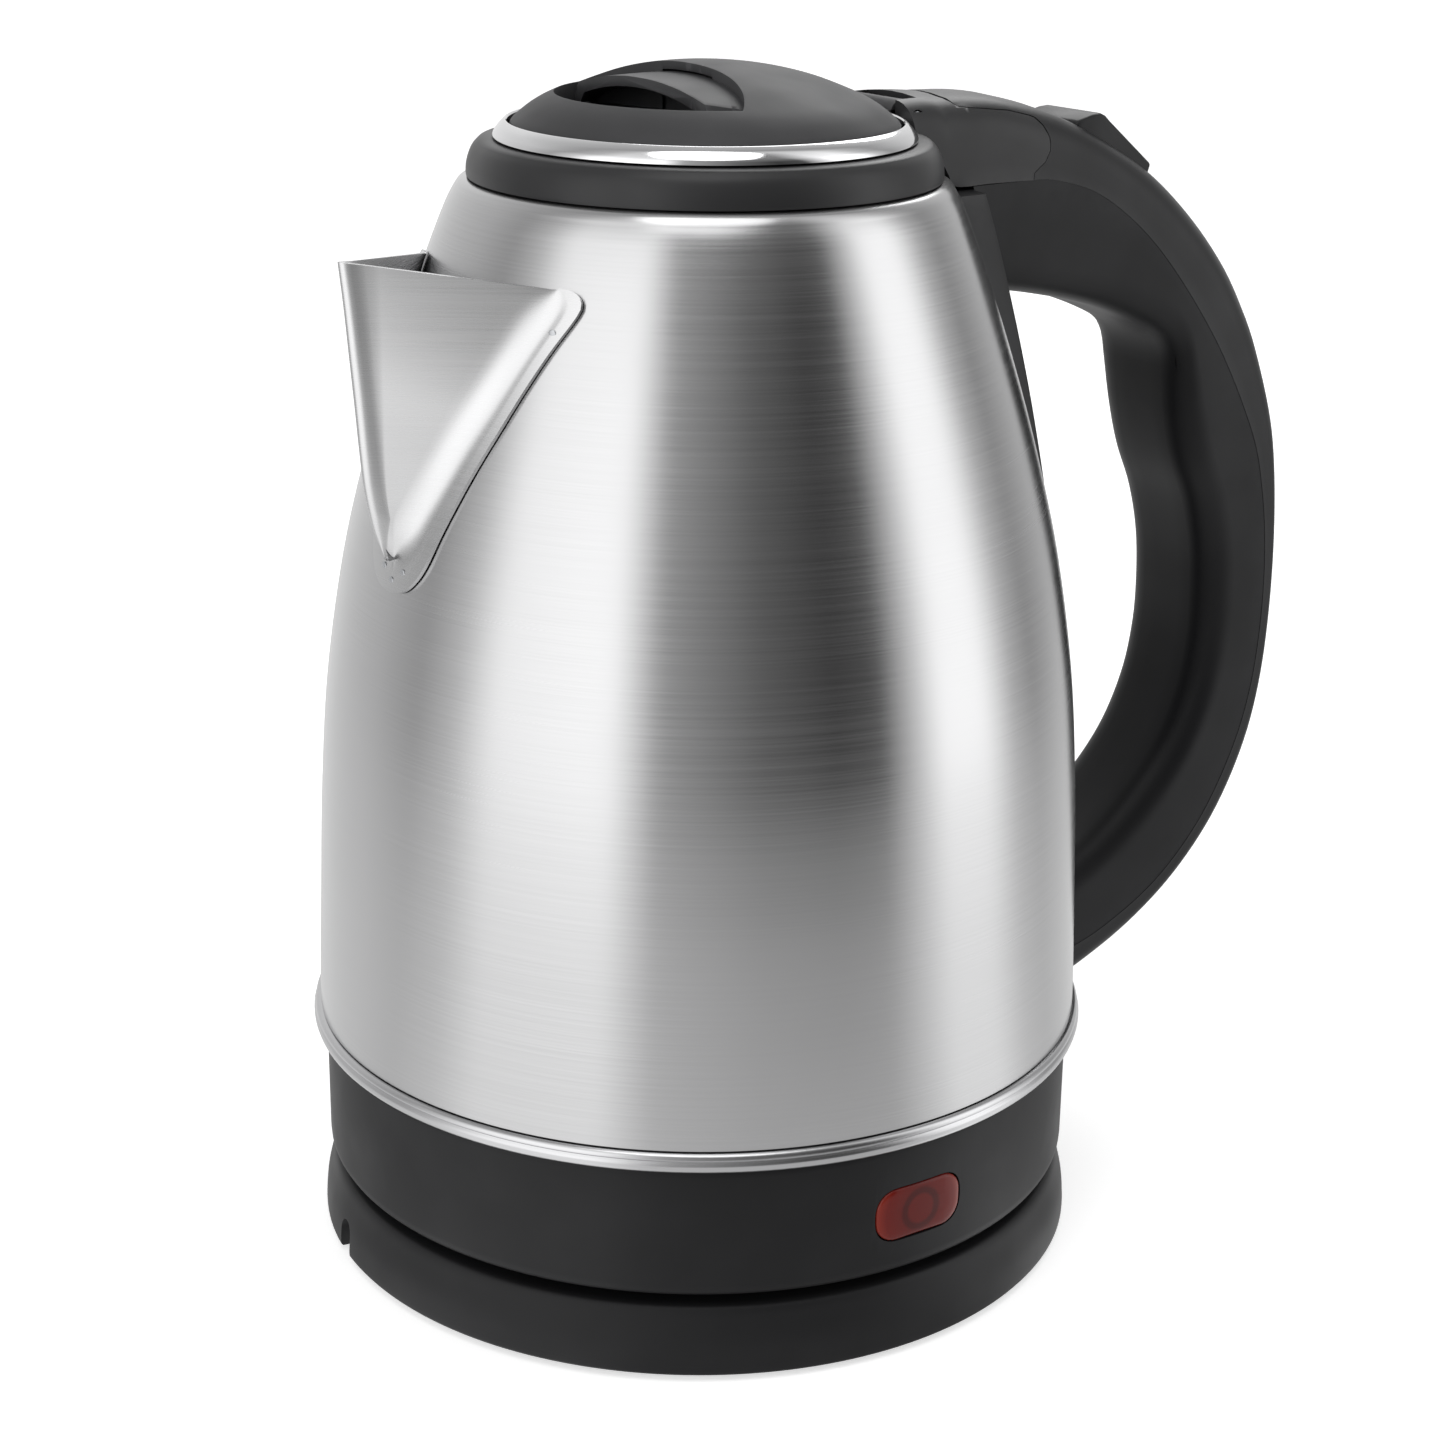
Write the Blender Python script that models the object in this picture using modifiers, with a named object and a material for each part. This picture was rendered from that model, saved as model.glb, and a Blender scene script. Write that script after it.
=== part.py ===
"""Cordless electric kettle on its power base, as separate pieces that move and fit.

Frame: metres, +Z up.  The origin is the centre of the power base's underside, the handle
lies along +X, the spout along -X and the indicator lens faces -Y.
"""
import math

import bmesh
import bpy
from mathutils import Matrix, Vector

MM = 0.001                      # every size below is in millimetres and is scaled by this

# --- sides of a turned piece ------------------------------------------------------------
FINE = 40
MIDDLE = 28
COARSE = 20
SMALL = 12

# --- clearances -------------------------------------------------------------------------
GAP = 0.3                       # between pieces that rest on or in each other
SLIDE = 0.5                     # round pieces that move

# --- power base -------------------------------------------------------------------------
BASE_R = 76.9                   # outer radius at the lower edge
BASE_H = 13.4                   # height of the deck
BASE_WALL = 2.0
BASE_TAPER = 2.3                # how much smaller the deck's edge is than the lower edge
RIDGE_R = 53.0                  # ring on the deck that the kettle stands on
RIDGE_H = 2.1
FOOT_R = 6.0
FOOT_PLACE = 60.0
FOOT_DROP = 1.2                 # how far the feet stand below the base's edge
COVER_T = 2.2                   # lower cover
BASE_SCREW_PLACE = 38.0
SKIRT_SCREW_PLACE = 62.0
NOTCH_W = 5.4                   # cord outlet in the lower edge
NOTCH_H = 7.0
NOTCH_TURN = 11.6               # degrees round from the spout's side

# --- coupler ----------------------------------------------------------------------------
PLUG_R = 13.9
PLUG_WALL = 1.5
PLUG_TOP = 27.6
LIVE_R = 11.6                   # outer radius of the outer contact ring
NEUTRAL_R = 7.2
RING_T = 0.8
EARTH_R = 2.0
SOCKET_WALL = 2.1
SHUTTER_W = 4.6

# --- kettle body ------------------------------------------------------------------------
SKIRT_R = 75.5
SKIRT_WALL = 2.2
SKIRT_LOW = BASE_H + RIDGE_H + 0.3
SKIRT_TOP = 42.2
RIM_R = 78.0
RIM_H = 3.6
SHEET = 0.8                     # steel sheet of the body and the spout
BODY_LOW = SKIRT_TOP + RIM_H + 2 * GAP
BODY_H = 163.6                  # from its lower edge to its shoulder
BODY_R = 76.6
NECK_R = 45.3                   # shoulder under the collar
MOUTH_R = 41.4                  # edge of the in-turned flange
# how the body narrows: share of the height, share of the way from BODY_R to NECK_R
BODY_TAPER = [(0.0, 0.0), (0.14, 0.024), (0.28, 0.056), (0.42, 0.115), (0.56, 0.232),
              (0.68, 0.385), (0.79, 0.556), (0.90, 0.752), (0.965, 0.885), (0.99, 0.955)]
LENS_W = 19.5
LENS_H = 10.5
LENS_Z = 27.9
LENS_TURN = -2.2                # degrees round from -Y, towards the spout
HEATER_T = 1.2
DIFFUSER_R = 50.0
ELEMENT_R = 40.0
ELEMENT_TUBE = 3.2

# --- spout ------------------------------------------------------------------------------
SPOUT_LOW = BODY_LOW + 0.5758 * BODY_H
SPOUT_TOP = BODY_LOW + 0.9187 * BODY_H      # height of the top edge at the body
TIP_Z = BODY_LOW + 0.9456 * BODY_H
SPOUT_HALF = 22.6               # half-width where the top edge meets the body
FLANGE_W = 6.4
# the keel: share of the way up from SPOUT_LOW to TIP_Z, distance out from the body
KEEL = [(0.116, 3.0), (0.213, 7.6), (0.370, 12.0), (0.585, 16.5), (0.80, 22.1), (1.0, 27.9)]
STRAINER_R = 1.8                # holes in the body behind the spout
STRAINER_STEP = 8.0

# --- collar and lid ---------------------------------------------------------------------
BODY_TOP = BODY_LOW + BODY_H
COLLAR_H = 6.7
COLLAR_R = 44.6
LID_OPENING_R = 37.3
RING_OUT_R = 39.7
RING_IN_R = 36.9
RING_H = 3.0
LID_R = 36.5
LID_RISE = 2.5                  # of the lid's edge above the collar
DOME_H = 11.4                   # crown above the lid's edge
DOME_WALL = 1.5
SCOOP_R = 28.0                  # rim of the finger recess
HOOD_X = -5.0                   # where the closed rear half of the lid begins
BOLT_HALF = 5.0
HINGE_X = 41.5
HINGE_PIN_R = 1.1
KNUCKLE_R = 2.4
TAB_HALF = 7.0
DUCT_R = 1.9                    # steam's way from the mouth to the handle

# --- handle -----------------------------------------------------------------------------
GRIP_HALF = 14.0                # half-width of grip and back cover
GRIP_WALL = 2.6
GRIP_ROUND = 5.5
HANDLE_START = BODY_R - 4.5     # the hollow and the rounded edges begin outside this
HANDLE_SCREW_Z = BODY_LOW - 0.0636 * BODY_H     # the two screws through the skirt
HANDLE_SCREW_Y = 7.0
STRIP_HALF = 16.0
STRIP_PROUD = 6.5
BRIDGE_HALF = 15.0
PIVOT_R = 1.3
ROCKER_HALF = 8.5
ROCKER_LEN = 23.6
ROCKER_PEAK = 4.7               # height over its seat
SWITCH_SHARE = 0.5638           # of the handle's thickness, from the rocker's seat down
LEVER_RISE = 7.5                # of the switch's lever above its body's middle
WIRE_R = 0.9

# --- screws -----------------------------------------------------------------------------
SCREW_R = 1.5
SCREW_HOLE_R = 1.8
HEAD_R = 3.2
HEAD_T = 0.9


def set_to_body(over, beside):
    """A line of the handle's side view, (x, z): first points over the shoulder, then beside it."""
    return ([(BODY_R + out, BODY_TOP + up) for out, up in over]
            + [(BODY_R + out, BODY_LOW + share * BODY_H) for out, share in beside])


# mm out from BODY_R, with mm up from BODY_TOP in a first list and share of BODY_H in a second
OUTER_LINE = set_to_body(
    [(-9.6, 10.9), (3.4, 7.4), (19.6, -0.1)],
    [(32.4, 0.9542), (43.4, 0.8998), (52.6, 0.8411), (59.2, 0.7836), (64.2, 0.7262),
     (70.2, 0.6125), (72.4, 0.4927), (72.6, 0.3582), (71, 0.2451), (67.1, 0.1534), (59.2, 0.0648),
     (48, -0.0073), (35, -0.0623), (22.8, -0.0978), (11, -0.1247), (-4.6, -0.1430)])
SEAM_LINE = set_to_body(
    [(-10.4, -4.6), (-0.6, -4.4), (13.4, -9.2)],
    [(29.9, 0.8674), (47.9, 0.7414), (60.9, 0.6125), (65.7, 0.5293), (68.2, 0.4377),
     (68.6, 0.3399), (66.8, 0.2421), (62.2, 0.1565), (53.6, 0.0685), (41.4, -0.0024),
     (26.9, -0.0483), (13.4, -0.0715), (-4.6, -0.0819)])
INNER_LINE = set_to_body(
    [],
    [(-16.6, 0.8411), (-0.6, 0.8252), (15.4, 0.8020), (28.4, 0.7726), (34.9, 0.7506),
     (38.4, 0.7219), (39.4, 0.6822), (40.8, 0.6333), (43.8, 0.5721), (48.4, 0.5110),
     (51.4, 0.4438), (52.4, 0.3704), (52, 0.3093), (49.6, 0.2451), (43.9, 0.1779), (34.4, 0.1167),
     (23.4, 0.0678), (11.4, 0.0330), (3.4, 0.0183), (-4.6, 0.0098)])


# --- helpers ----------------------------------------------------------------------------
def start_clean():
    for obj in list(bpy.data.objects):
        bpy.data.objects.remove(obj, do_unlink=True)


def collection(name):
    col = bpy.data.collections.get(name)
    if col is None:
        col = bpy.data.collections.new(name)
        bpy.context.scene.collection.children.link(col)
    return col


def finish_of(name, colour, roughness, metallic=0.0):
    material = bpy.data.materials.new(name)
    material.use_nodes = True
    shader = material.node_tree.nodes["Principled BSDF"]
    shader.inputs["Base Color"].default_value = (*colour, 1.0)
    shader.inputs["Roughness"].default_value = roughness
    shader.inputs["Metallic"].default_value = metallic
    material.diffuse_color = (*colour, 1.0)
    return material


def place(name, mesh, material=None, cutter=False):
    obj = bpy.data.objects.new(name, mesh)
    if cutter:
        obj.hide_render = True
        obj.display_type = "WIRE"
        collection("cutters").objects.link(obj)
    else:
        collection("electric_kettle").objects.link(obj)
    if material:
        mesh.materials.append(material)
    return obj


def mesh_of(build):
    """A mesh that build(bm) fills, with doubles merged and faces pointing out."""
    mesh = bpy.data.meshes.new("mesh")
    bm = bmesh.new()
    build(bm)
    bmesh.ops.remove_doubles(bm, verts=bm.verts, dist=0.00001)
    bmesh.ops.recalc_face_normals(bm, faces=bm.faces)
    bm.to_mesh(mesh)
    bm.free()
    return mesh


def turned(name, profile, material=None, steps=MIDDLE, closed=True, cutter=False, wall=0.0,
           centre=(0, 0), turn=0.0):
    """Turn a profile of (radius, height) about Z; it runs down its outer side."""
    mesh = bpy.data.meshes.new(name)
    points = [(r * MM, 0, z * MM) for r, z in profile]
    edges = [(i, i + 1) for i in range(len(points) - 1)]
    if closed:
        edges.append((len(points) - 1, 0))
    mesh.from_pydata(points, edges, [])
    obj = place(name, mesh, material, cutter)
    screw = obj.modifiers.new("turn", "SCREW")
    screw.steps = steps
    screw.render_steps = steps
    screw.use_merge_vertices = True
    screw.merge_threshold = 0.00005
    screw.use_smooth_shade = True
    if wall:
        shell = obj.modifiers.new("wall", "SOLIDIFY")
        shell.thickness = wall * MM
        shell.offset = -1
    obj.location = (centre[0] * MM, centre[1] * MM, 0)
    obj.rotation_euler.z = turn
    return obj


def plate(name, outline, half, material=None, cutter=False, rounded=None, radius=0.0):
    """A flat outline in (x, z), spread evenly to each side of the XZ plane.

    rounded(x, z) says which outline edges are rounded, by the edge's middle in mm.
    """
    curve = bpy.data.curves.new(name, "CURVE")
    curve.dimensions = "2D"
    curve.fill_mode = "BOTH"
    curve.extrude = half * MM
    line = curve.splines.new("POLY")
    line.points.add(len(outline) - 1)
    for point, (x, z) in zip(line.points, outline):
        point.co = (x * MM, z * MM, 0, 1)
    line.use_cyclic_u = True
    guide = bpy.data.objects.new(name + "_outline", curve)
    bpy.context.scene.collection.objects.link(guide)
    bpy.context.view_layer.update()
    solid = guide.evaluated_get(bpy.context.evaluated_depsgraph_get())
    mesh = bpy.data.meshes.new_from_object(solid)
    bpy.data.objects.remove(guide, do_unlink=True)
    bm = bmesh.new()
    bm.from_mesh(mesh)
    bmesh.ops.remove_doubles(bm, verts=bm.verts, dist=0.00002)
    bmesh.ops.transform(bm, matrix=Matrix.Rotation(math.pi / 2, 4, "X"), verts=bm.verts)
    bmesh.ops.recalc_face_normals(bm, faces=bm.faces)
    caps = [f for f in bm.faces if abs(f.normal.y) > 0.9]
    inner = [e for e in bm.edges if all(f in caps for f in e.link_faces)]
    bmesh.ops.dissolve_edges(bm, edges=inner, use_verts=False)
    if rounded:
        rim = []
        for edge in bm.edges:
            a, b = (v.co / MM for v in edge.verts)
            flat = abs(a.y - b.y) < 0.01
            if flat and rounded((a.x + b.x) / 2, (a.z + b.z) / 2):
                rim.append(edge)
        bmesh.ops.bevel(bm, geom=rim, offset=radius * MM, offset_type="OFFSET", segments=2,
                        profile=0.5, affect="EDGES", clamp_overlap=True, material=-1)
    bm.to_mesh(mesh)
    bm.free()
    return place(name, mesh, material, cutter)


def block(name, low, high, material=None, cutter=False):
    """An upright box between two corners in mm."""
    size = [(h - l) * MM for l, h in zip(low, high)]
    middle = [(h + l) / 2 * MM for l, h in zip(low, high)]

    def build(bm):
        bmesh.ops.create_cube(bm, size=1.0)
        bmesh.ops.scale(bm, vec=size, verts=bm.verts)

    obj = place(name, mesh_of(build), material, cutter)
    obj.location = middle
    return obj


def rod(name, start, end, radius, material=None, cutter=False, sides=16):
    """A cylinder between two points in mm."""
    a, b = Vector(start) * MM, Vector(end) * MM

    def build(bm):
        bmesh.ops.create_cone(bm, cap_ends=True, segments=sides, radius1=radius * MM,
                              radius2=radius * MM, depth=(b - a).length)

    obj = place(name, mesh_of(build), material, cutter)
    obj.location = (a + b) / 2
    obj.rotation_mode = "QUATERNION"
    obj.rotation_quaternion = Vector((0, 0, 1)).rotation_difference(b - a)
    return obj


def screw(name, top, low, material, centre):
    """A screw driven upwards, its head at the lower end."""
    return turned(name, [(0, top), (SCREW_R, top), (SCREW_R, low + HEAD_T), (HEAD_R, low + HEAD_T),
                         (HEAD_R, low), (0, low)], material, steps=SMALL, centre=centre)


def screw_hole(name, top, seat, low, centre):
    """Cutter for a screw's hole, with room for its head below the seat."""
    return turned(name, [(0, top), (SCREW_HOLE_R, top), (SCREW_HOLE_R, seat), (HEAD_R + GAP, seat),
                         (HEAD_R + GAP, low), (0, low)], steps=SMALL, cutter=True, centre=centre)


def boolean(obj, other, operation):
    step = obj.modifiers.new(operation.lower(), "BOOLEAN")
    step.operation = operation
    step.solver = "EXACT"
    step.object = other
    return obj


def cut(obj, *others):
    for other in others:
        boolean(obj, other, "DIFFERENCE")
    return obj


def join(obj, *others):
    for other in others:
        boolean(obj, other, "UNION")
    return obj


def smooth_line(points, per_span):
    """Points along a smooth curve that passes through the given ones."""
    out = []
    for i in range(len(points) - 1):
        p0 = Vector(points[max(i - 1, 0)])
        p1 = Vector(points[i])
        p2 = Vector(points[i + 1])
        p3 = Vector(points[min(i + 2, len(points) - 1)])
        for k in range(per_span):
            t = k / per_span
            out.append(0.5 * (2 * p1 + (p2 - p0) * t + (2 * p0 - 5 * p1 + 4 * p2 - p3) * t * t
                              + (3 * p1 - p0 - 3 * p2 + p3) * t ** 3))
    out.append(Vector(points[-1]))
    return [tuple(p) for p in out]


def offset_line(points, distance):
    """The same line moved to its left by a distance."""
    out = []
    for i, point in enumerate(points):
        before = Vector(points[max(i - 1, 0)])
        after = Vector(points[min(i + 1, len(points) - 1)])
        way = (after - before).normalized()
        out.append((point[0] - way.y * distance, point[1] + way.x * distance))
    return out


def tube(name, points, radius, material):
    """A round wire through points in mm."""
    curve = bpy.data.curves.new(name, "CURVE")
    curve.dimensions = "3D"
    curve.bevel_depth = radius * MM
    curve.bevel_resolution = 2
    curve.use_fill_caps = True
    line = curve.splines.new("POLY")
    line.points.add(len(points) - 1)
    for point, place_mm in zip(line.points, points):
        point.co = (*(c * MM for c in place_mm), 1)
    obj = bpy.data.objects.new(name, curve)
    collection("electric_kettle").objects.link(obj)
    curve.materials.append(material)
    return obj


# --- shared shapes ----------------------------------------------------------------------
def body_radius(z):
    """Outer radius of the steel body at a height."""
    share = min(max((z - BODY_LOW) / BODY_H, 0.0), BODY_TAPER[-1][0])
    for (h0, s0), (h1, s1) in zip(BODY_TAPER, BODY_TAPER[1:]):
        if share <= h1:
            part = s0 + (s1 - s0) * (share - h0) / (h1 - h0)
            return BODY_R - (BODY_R - NECK_R) * part
    return NECK_R


def breaks_between(low, high):
    """The heights between two where the body's outline bends, with the two themselves."""
    bends = [BODY_LOW + share * BODY_H for share, _ in BODY_TAPER]
    return [low] + [z for z in bends if low + 0.5 < z < high - 0.5] + [high]


def height_on(line, x):
    """Height of a line in (x, z) where it passes x on its way down."""
    for (x0, z0), (x1, z1) in reversed(list(zip(line, line[1:]))):
        if min(x0, x1) <= x <= max(x0, x1):
            return z0 + (z1 - z0) * (x - x0) / (x1 - x0)
    return line[-1][1]


def body_outline():
    """Profile of the steel body's outside from the flange down to the lower edge."""
    top = BODY_TOP
    line = [(MOUTH_R, top), (NECK_R - 0.6, top), (NECK_R + 0.4, top - 0.5)]
    for share, part in reversed(BODY_TAPER[:-1]):
        line.append((BODY_R - (BODY_R - NECK_R) * part, BODY_LOW + share * BODY_H))
    return line


def envelope(name, grow):
    """Cutter with the outside of skirt, rim and body, grown by a clearance."""
    line = [(0, BODY_TOP + grow), (NECK_R + grow, BODY_TOP + grow)]
    for share, part in reversed(BODY_TAPER[:-1]):
        line.append((BODY_R - (BODY_R - NECK_R) * part + grow, BODY_LOW + share * BODY_H))
    rim_top = SKIRT_TOP + RIM_H + 2 * GAP
    line += [(BODY_R + grow, rim_top + 0.6), (RIM_R + grow, rim_top),
             (RIM_R + grow, SKIRT_TOP - GAP), (SKIRT_R + grow, SKIRT_TOP - 0.6), (SKIRT_R + grow, 0),
             (0, 0)]
    return turned(name, line, steps=FINE, cutter=True)


def dome_height(r, crown):
    """Height below the crown on the lid's outside at a radius."""
    ball = (LID_R ** 2 + DOME_H ** 2) / (2 * DOME_H)
    fall = ball - math.sqrt(ball ** 2 - r ** 2)
    return crown - fall


def dome_outline(radius, crown, sink, low):
    """Solid profile under the lid's curve, sunk by a distance, down to a height."""
    line = [(radius * i / 6, dome_height(radius * i / 6, crown) - sink) for i in range(7)]
    return line + [(radius, low), (0, low)]


def hinge_height():
    return BODY_TOP + GAP + COLLAR_H + 2.3


# --- power base -------------------------------------------------------------------------
def make_base(mats):
    edge = BASE_R - BASE_TAPER
    well = PLUG_R + SHUTTER_W + 2 * SLIDE
    inner = BASE_R - BASE_WALL
    shell = turned("base_shell", [
        (well, BASE_H), (RIDGE_R - 2.2, BASE_H), (RIDGE_R - 1.5, BASE_H + RIDGE_H),
        (RIDGE_R + 1.5, BASE_H + RIDGE_H), (RIDGE_R + 2.2, BASE_H), (edge - 1.6, BASE_H),
        (edge - 0.3, BASE_H - 0.5), (edge + 0.5, BASE_H - 1.8), (BASE_R - 0.5, BASE_H / 2),
        (BASE_R, 0.0), (inner, 0.0), (inner - 0.5, BASE_H / 2 - 0.4),
        (edge - 1.6, BASE_H - BASE_WALL), (well, BASE_H - BASE_WALL)],
        mats["black"], steps=FINE)
    cover = turned("base_lower_cover", [
        (0, COVER_T), (inner - GAP - 0.1, COVER_T), (inner - GAP - 0.1, 0),
        (inner - 4, 0), (inner - 5, 0.8), (24, 0.8), (23, 0), (0, 0)], mats["black"], steps=FINE)
    notch_angle = math.radians(180 - NOTCH_TURN)
    notch = plate("notch_cutter", [
        (-NOTCH_W / 2, -1), (NOTCH_W / 2, -1), (NOTCH_W / 2, NOTCH_H - NOTCH_W / 2),
        (NOTCH_W / 4, NOTCH_H - 0.4), (0, NOTCH_H), (-NOTCH_W / 4, NOTCH_H - 0.4),
        (-NOTCH_W / 2, NOTCH_H - NOTCH_W / 2)], 7, cutter=True)
    notch.location = (BASE_R * math.cos(notch_angle) * MM, BASE_R * math.sin(notch_angle) * MM, 0)
    notch.rotation_euler.z = notch_angle + math.pi / 2
    for i in range(3):
        angle = math.radians(60 + 120 * i)
        x, y = BASE_SCREW_PLACE * math.cos(angle), BASE_SCREW_PLACE * math.sin(angle)
        boss = rod("boss_%d" % (i + 1), (x, y, COVER_T + GAP), (x, y, BASE_H - BASE_WALL + 0.4),
                   3.8, cutter=True, sides=12)
        join(shell, boss)
        hole = screw_hole("base_screw_hole_%d" % (i + 1), BASE_H - BASE_WALL - 1, 1.5, -1, (x, y))
        cut(shell, hole)
        cut(cover, hole)
        screw("base_screw_%d" % (i + 1), BASE_H - BASE_WALL - 2, 0.3, mats["zinc"], (x, y))
    cut(shell, notch)
    cut(cover, notch)
    for i in range(3):
        angle = math.radians(120 * i)
        turned("base_foot_%d" % (i + 1), [
            (0, 0.5), (FOOT_R, 0.5), (FOOT_R, -0.7), (FOOT_R - 0.5, -FOOT_DROP), (0, -FOOT_DROP)],
            mats["rubber"], steps=SMALL,
            centre=(FOOT_PLACE * math.cos(angle), FOOT_PLACE * math.sin(angle)))


def make_plug(mats):
    """The round connector on the base: wall, floor, two contact rings and an earth pin."""
    floor = BASE_H + 1.6
    low = COVER_T + GAP
    turned("coupler_plug", [
        (EARTH_R + GAP, floor), (PLUG_R - PLUG_WALL, floor), (PLUG_R - PLUG_WALL, PLUG_TOP),
        (PLUG_R - 0.5, PLUG_TOP), (PLUG_R, PLUG_TOP - 0.6), (PLUG_R, low + 2),
        (PLUG_R + SHUTTER_W + 2, low + 2), (PLUG_R + SHUTTER_W + 2, low), (EARTH_R + GAP, low)],
        mats["black"], steps=COARSE)
    for name, radius in (("coupler_live_ring", LIVE_R), ("coupler_neutral_ring", NEUTRAL_R)):
        turned(name, [(radius - RING_T, PLUG_TOP - 4), (radius, PLUG_TOP - 4), (radius, floor + GAP),
                      (radius - RING_T, floor + GAP)], mats["brass"], steps=SMALL)
    turned("coupler_earth_pin", [(0, PLUG_TOP), (EARTH_R - 0.6, PLUG_TOP), (EARTH_R, PLUG_TOP - 0.8),
                                 (EARTH_R, low + 0.6), (0, low + 0.6)], mats["brass"], steps=SMALL)
    inner, outer = PLUG_R + SLIDE, PLUG_R + SHUTTER_W + SLIDE
    top = SKIRT_LOW - 0.2
    turned("coupler_shutter", [(inner, top), (outer - 0.6, top), (outer, top - 0.6), (outer, top - 3.2),
                               (inner, top - 3.2)], mats["grey"], steps=COARSE)
    turns, per_turn = 3, 10
    low_z, high_z = low + 3.2, top - 4.4
    coil = []
    for i in range(turns * per_turn + 1):
        angle = 2 * math.pi * i / per_turn
        z = low_z + (high_z - low_z) * i / (turns * per_turn)
        coil.append(((inner + outer) / 2 * math.cos(angle), (inner + outer) / 2 * math.sin(angle), z))
    tube("coupler_spring", coil, 0.5, mats["zinc"])


# --- kettle body ------------------------------------------------------------------------
def make_body(mats):
    shell = turned("body_shell", body_outline(), mats["steel"], steps=FINE, closed=False, wall=SHEET)
    holes = []
    for row, count in enumerate((1, 2, 3)):
        z = SPOUT_LOW + (3 + row) * STRAINER_STEP
        for k in range(count):
            y = (k - (count - 1) / 2) * STRAINER_STEP
            reach = body_radius(z)
            holes.append(rod("strainer_%d_%d" % (row, k), (-reach - 6, y, z), (-reach + 12, y, z),
                             STRAINER_R, cutter=True, sides=8))
    cut(shell, *holes)
    turned("bottom_rim", [
        (BODY_R - 2, SKIRT_TOP + GAP + RIM_H), (RIM_R - 1.0, SKIRT_TOP + GAP + RIM_H),
        (RIM_R - 0.2, SKIRT_TOP + GAP + RIM_H * 0.72), (RIM_R, SKIRT_TOP + GAP + RIM_H * 0.45),
        (RIM_R - 0.4, SKIRT_TOP + GAP + RIM_H * 0.15), (RIM_R - 1.2, SKIRT_TOP + GAP),
        (BODY_R - 2, SKIRT_TOP + GAP)], mats["steel"], steps=FINE)
    inside = BODY_R - SHEET - 0.4
    turned("heater_plate", [(0, BODY_LOW + HEATER_T), (inside, BODY_LOW + HEATER_T),
                            (inside, BODY_LOW), (0, BODY_LOW)], mats["steel"], steps=MIDDLE)
    plate_low = BODY_LOW - GAP - 1.8
    turned("heat_diffuser", [(0, BODY_LOW - GAP), (DIFFUSER_R, BODY_LOW - GAP),
                             (DIFFUSER_R, plate_low), (0, plate_low)], mats["aluminium"],
           steps=COARSE)
    z = plate_low - GAP - ELEMENT_TUBE
    arc = [math.radians(-155 + 310 * i / 20) for i in range(21)]
    tube("heating_element", [(ELEMENT_R * math.cos(a), ELEMENT_R * math.sin(a), z) for a in arc],
         ELEMENT_TUBE, mats["aluminium"])
    for i, a in enumerate((arc[0], arc[-1])):
        x, y = ELEMENT_R * math.cos(a), ELEMENT_R * math.sin(a)
        low = z - ELEMENT_TUBE - 0.4
        rod("element_terminal_%d" % (i + 1), (x, y, low - 5), (x, y, low), 1.6, mats["zinc"],
            sides=12)
    return plate_low


def make_socket(mats, plate_low):
    """The connector, control and discs under the heater."""
    bore = PLUG_R + SLIDE + 0.1
    outer = bore + SOCKET_WALL
    roof = PLUG_TOP + 1.2
    turned("kettle_socket", [
        (EARTH_R + 1.6, roof + 2.4), (outer, roof + 2.4), (outer, SKIRT_LOW + 0.2),
        (bore, SKIRT_LOW + 0.2), (bore, roof), (EARTH_R + 1.6, roof)], mats["ivory"], steps=COARSE)
    turned("socket_earth_tube", [
        (EARTH_R + 0.4, roof + 2), (EARTH_R + 1.3, roof + 2), (EARTH_R + 1.3, roof - 9),
        (EARTH_R + 0.4, roof - 9)], mats["brass"], steps=SMALL)
    track = LIVE_R - RING_T
    block("socket_live_blade", (track - 1.4, -1.5, roof - 8), (track - 0.4, 1.5, roof - GAP),
          mats["brass"])
    block("socket_neutral_blade", (-NEUTRAL_R - 1.4, -1.5, roof - 8),
          (-NEUTRAL_R - 0.4, 1.5, roof - GAP), mats["brass"])
    low, top = roof + 2.4 + GAP, plate_low - 1.6
    turned("control_unit", [
        (0, top), (19, top), (19, top - 1.4), (28, top - 1.4), (28, top - 3.2), (19, top - 3.2),
        (19, low), (0, low)], mats["ivory"], steps=COARSE)
    for i in range(2):
        turned("boil_dry_disc_%d" % (i + 1), [
            (0, top + 1.1), (6, top + 0.8), (6, top + GAP), (0, top + GAP + 0.3)], mats["brass"],
            steps=SMALL, centre=(10 * (1 - 2 * i), 0))


def stadium(width, height, rows=5):
    """Outline of a rounded bar about the origin."""
    r = height / 2
    right = [(width / 2 - r + r * math.cos(a), r * math.sin(a))
             for a in (math.pi * (i / (rows * 2 - 2) - 0.5) for i in range(rows * 2 - 1))]
    return right + [(-x, -z) for x, z in right]


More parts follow.
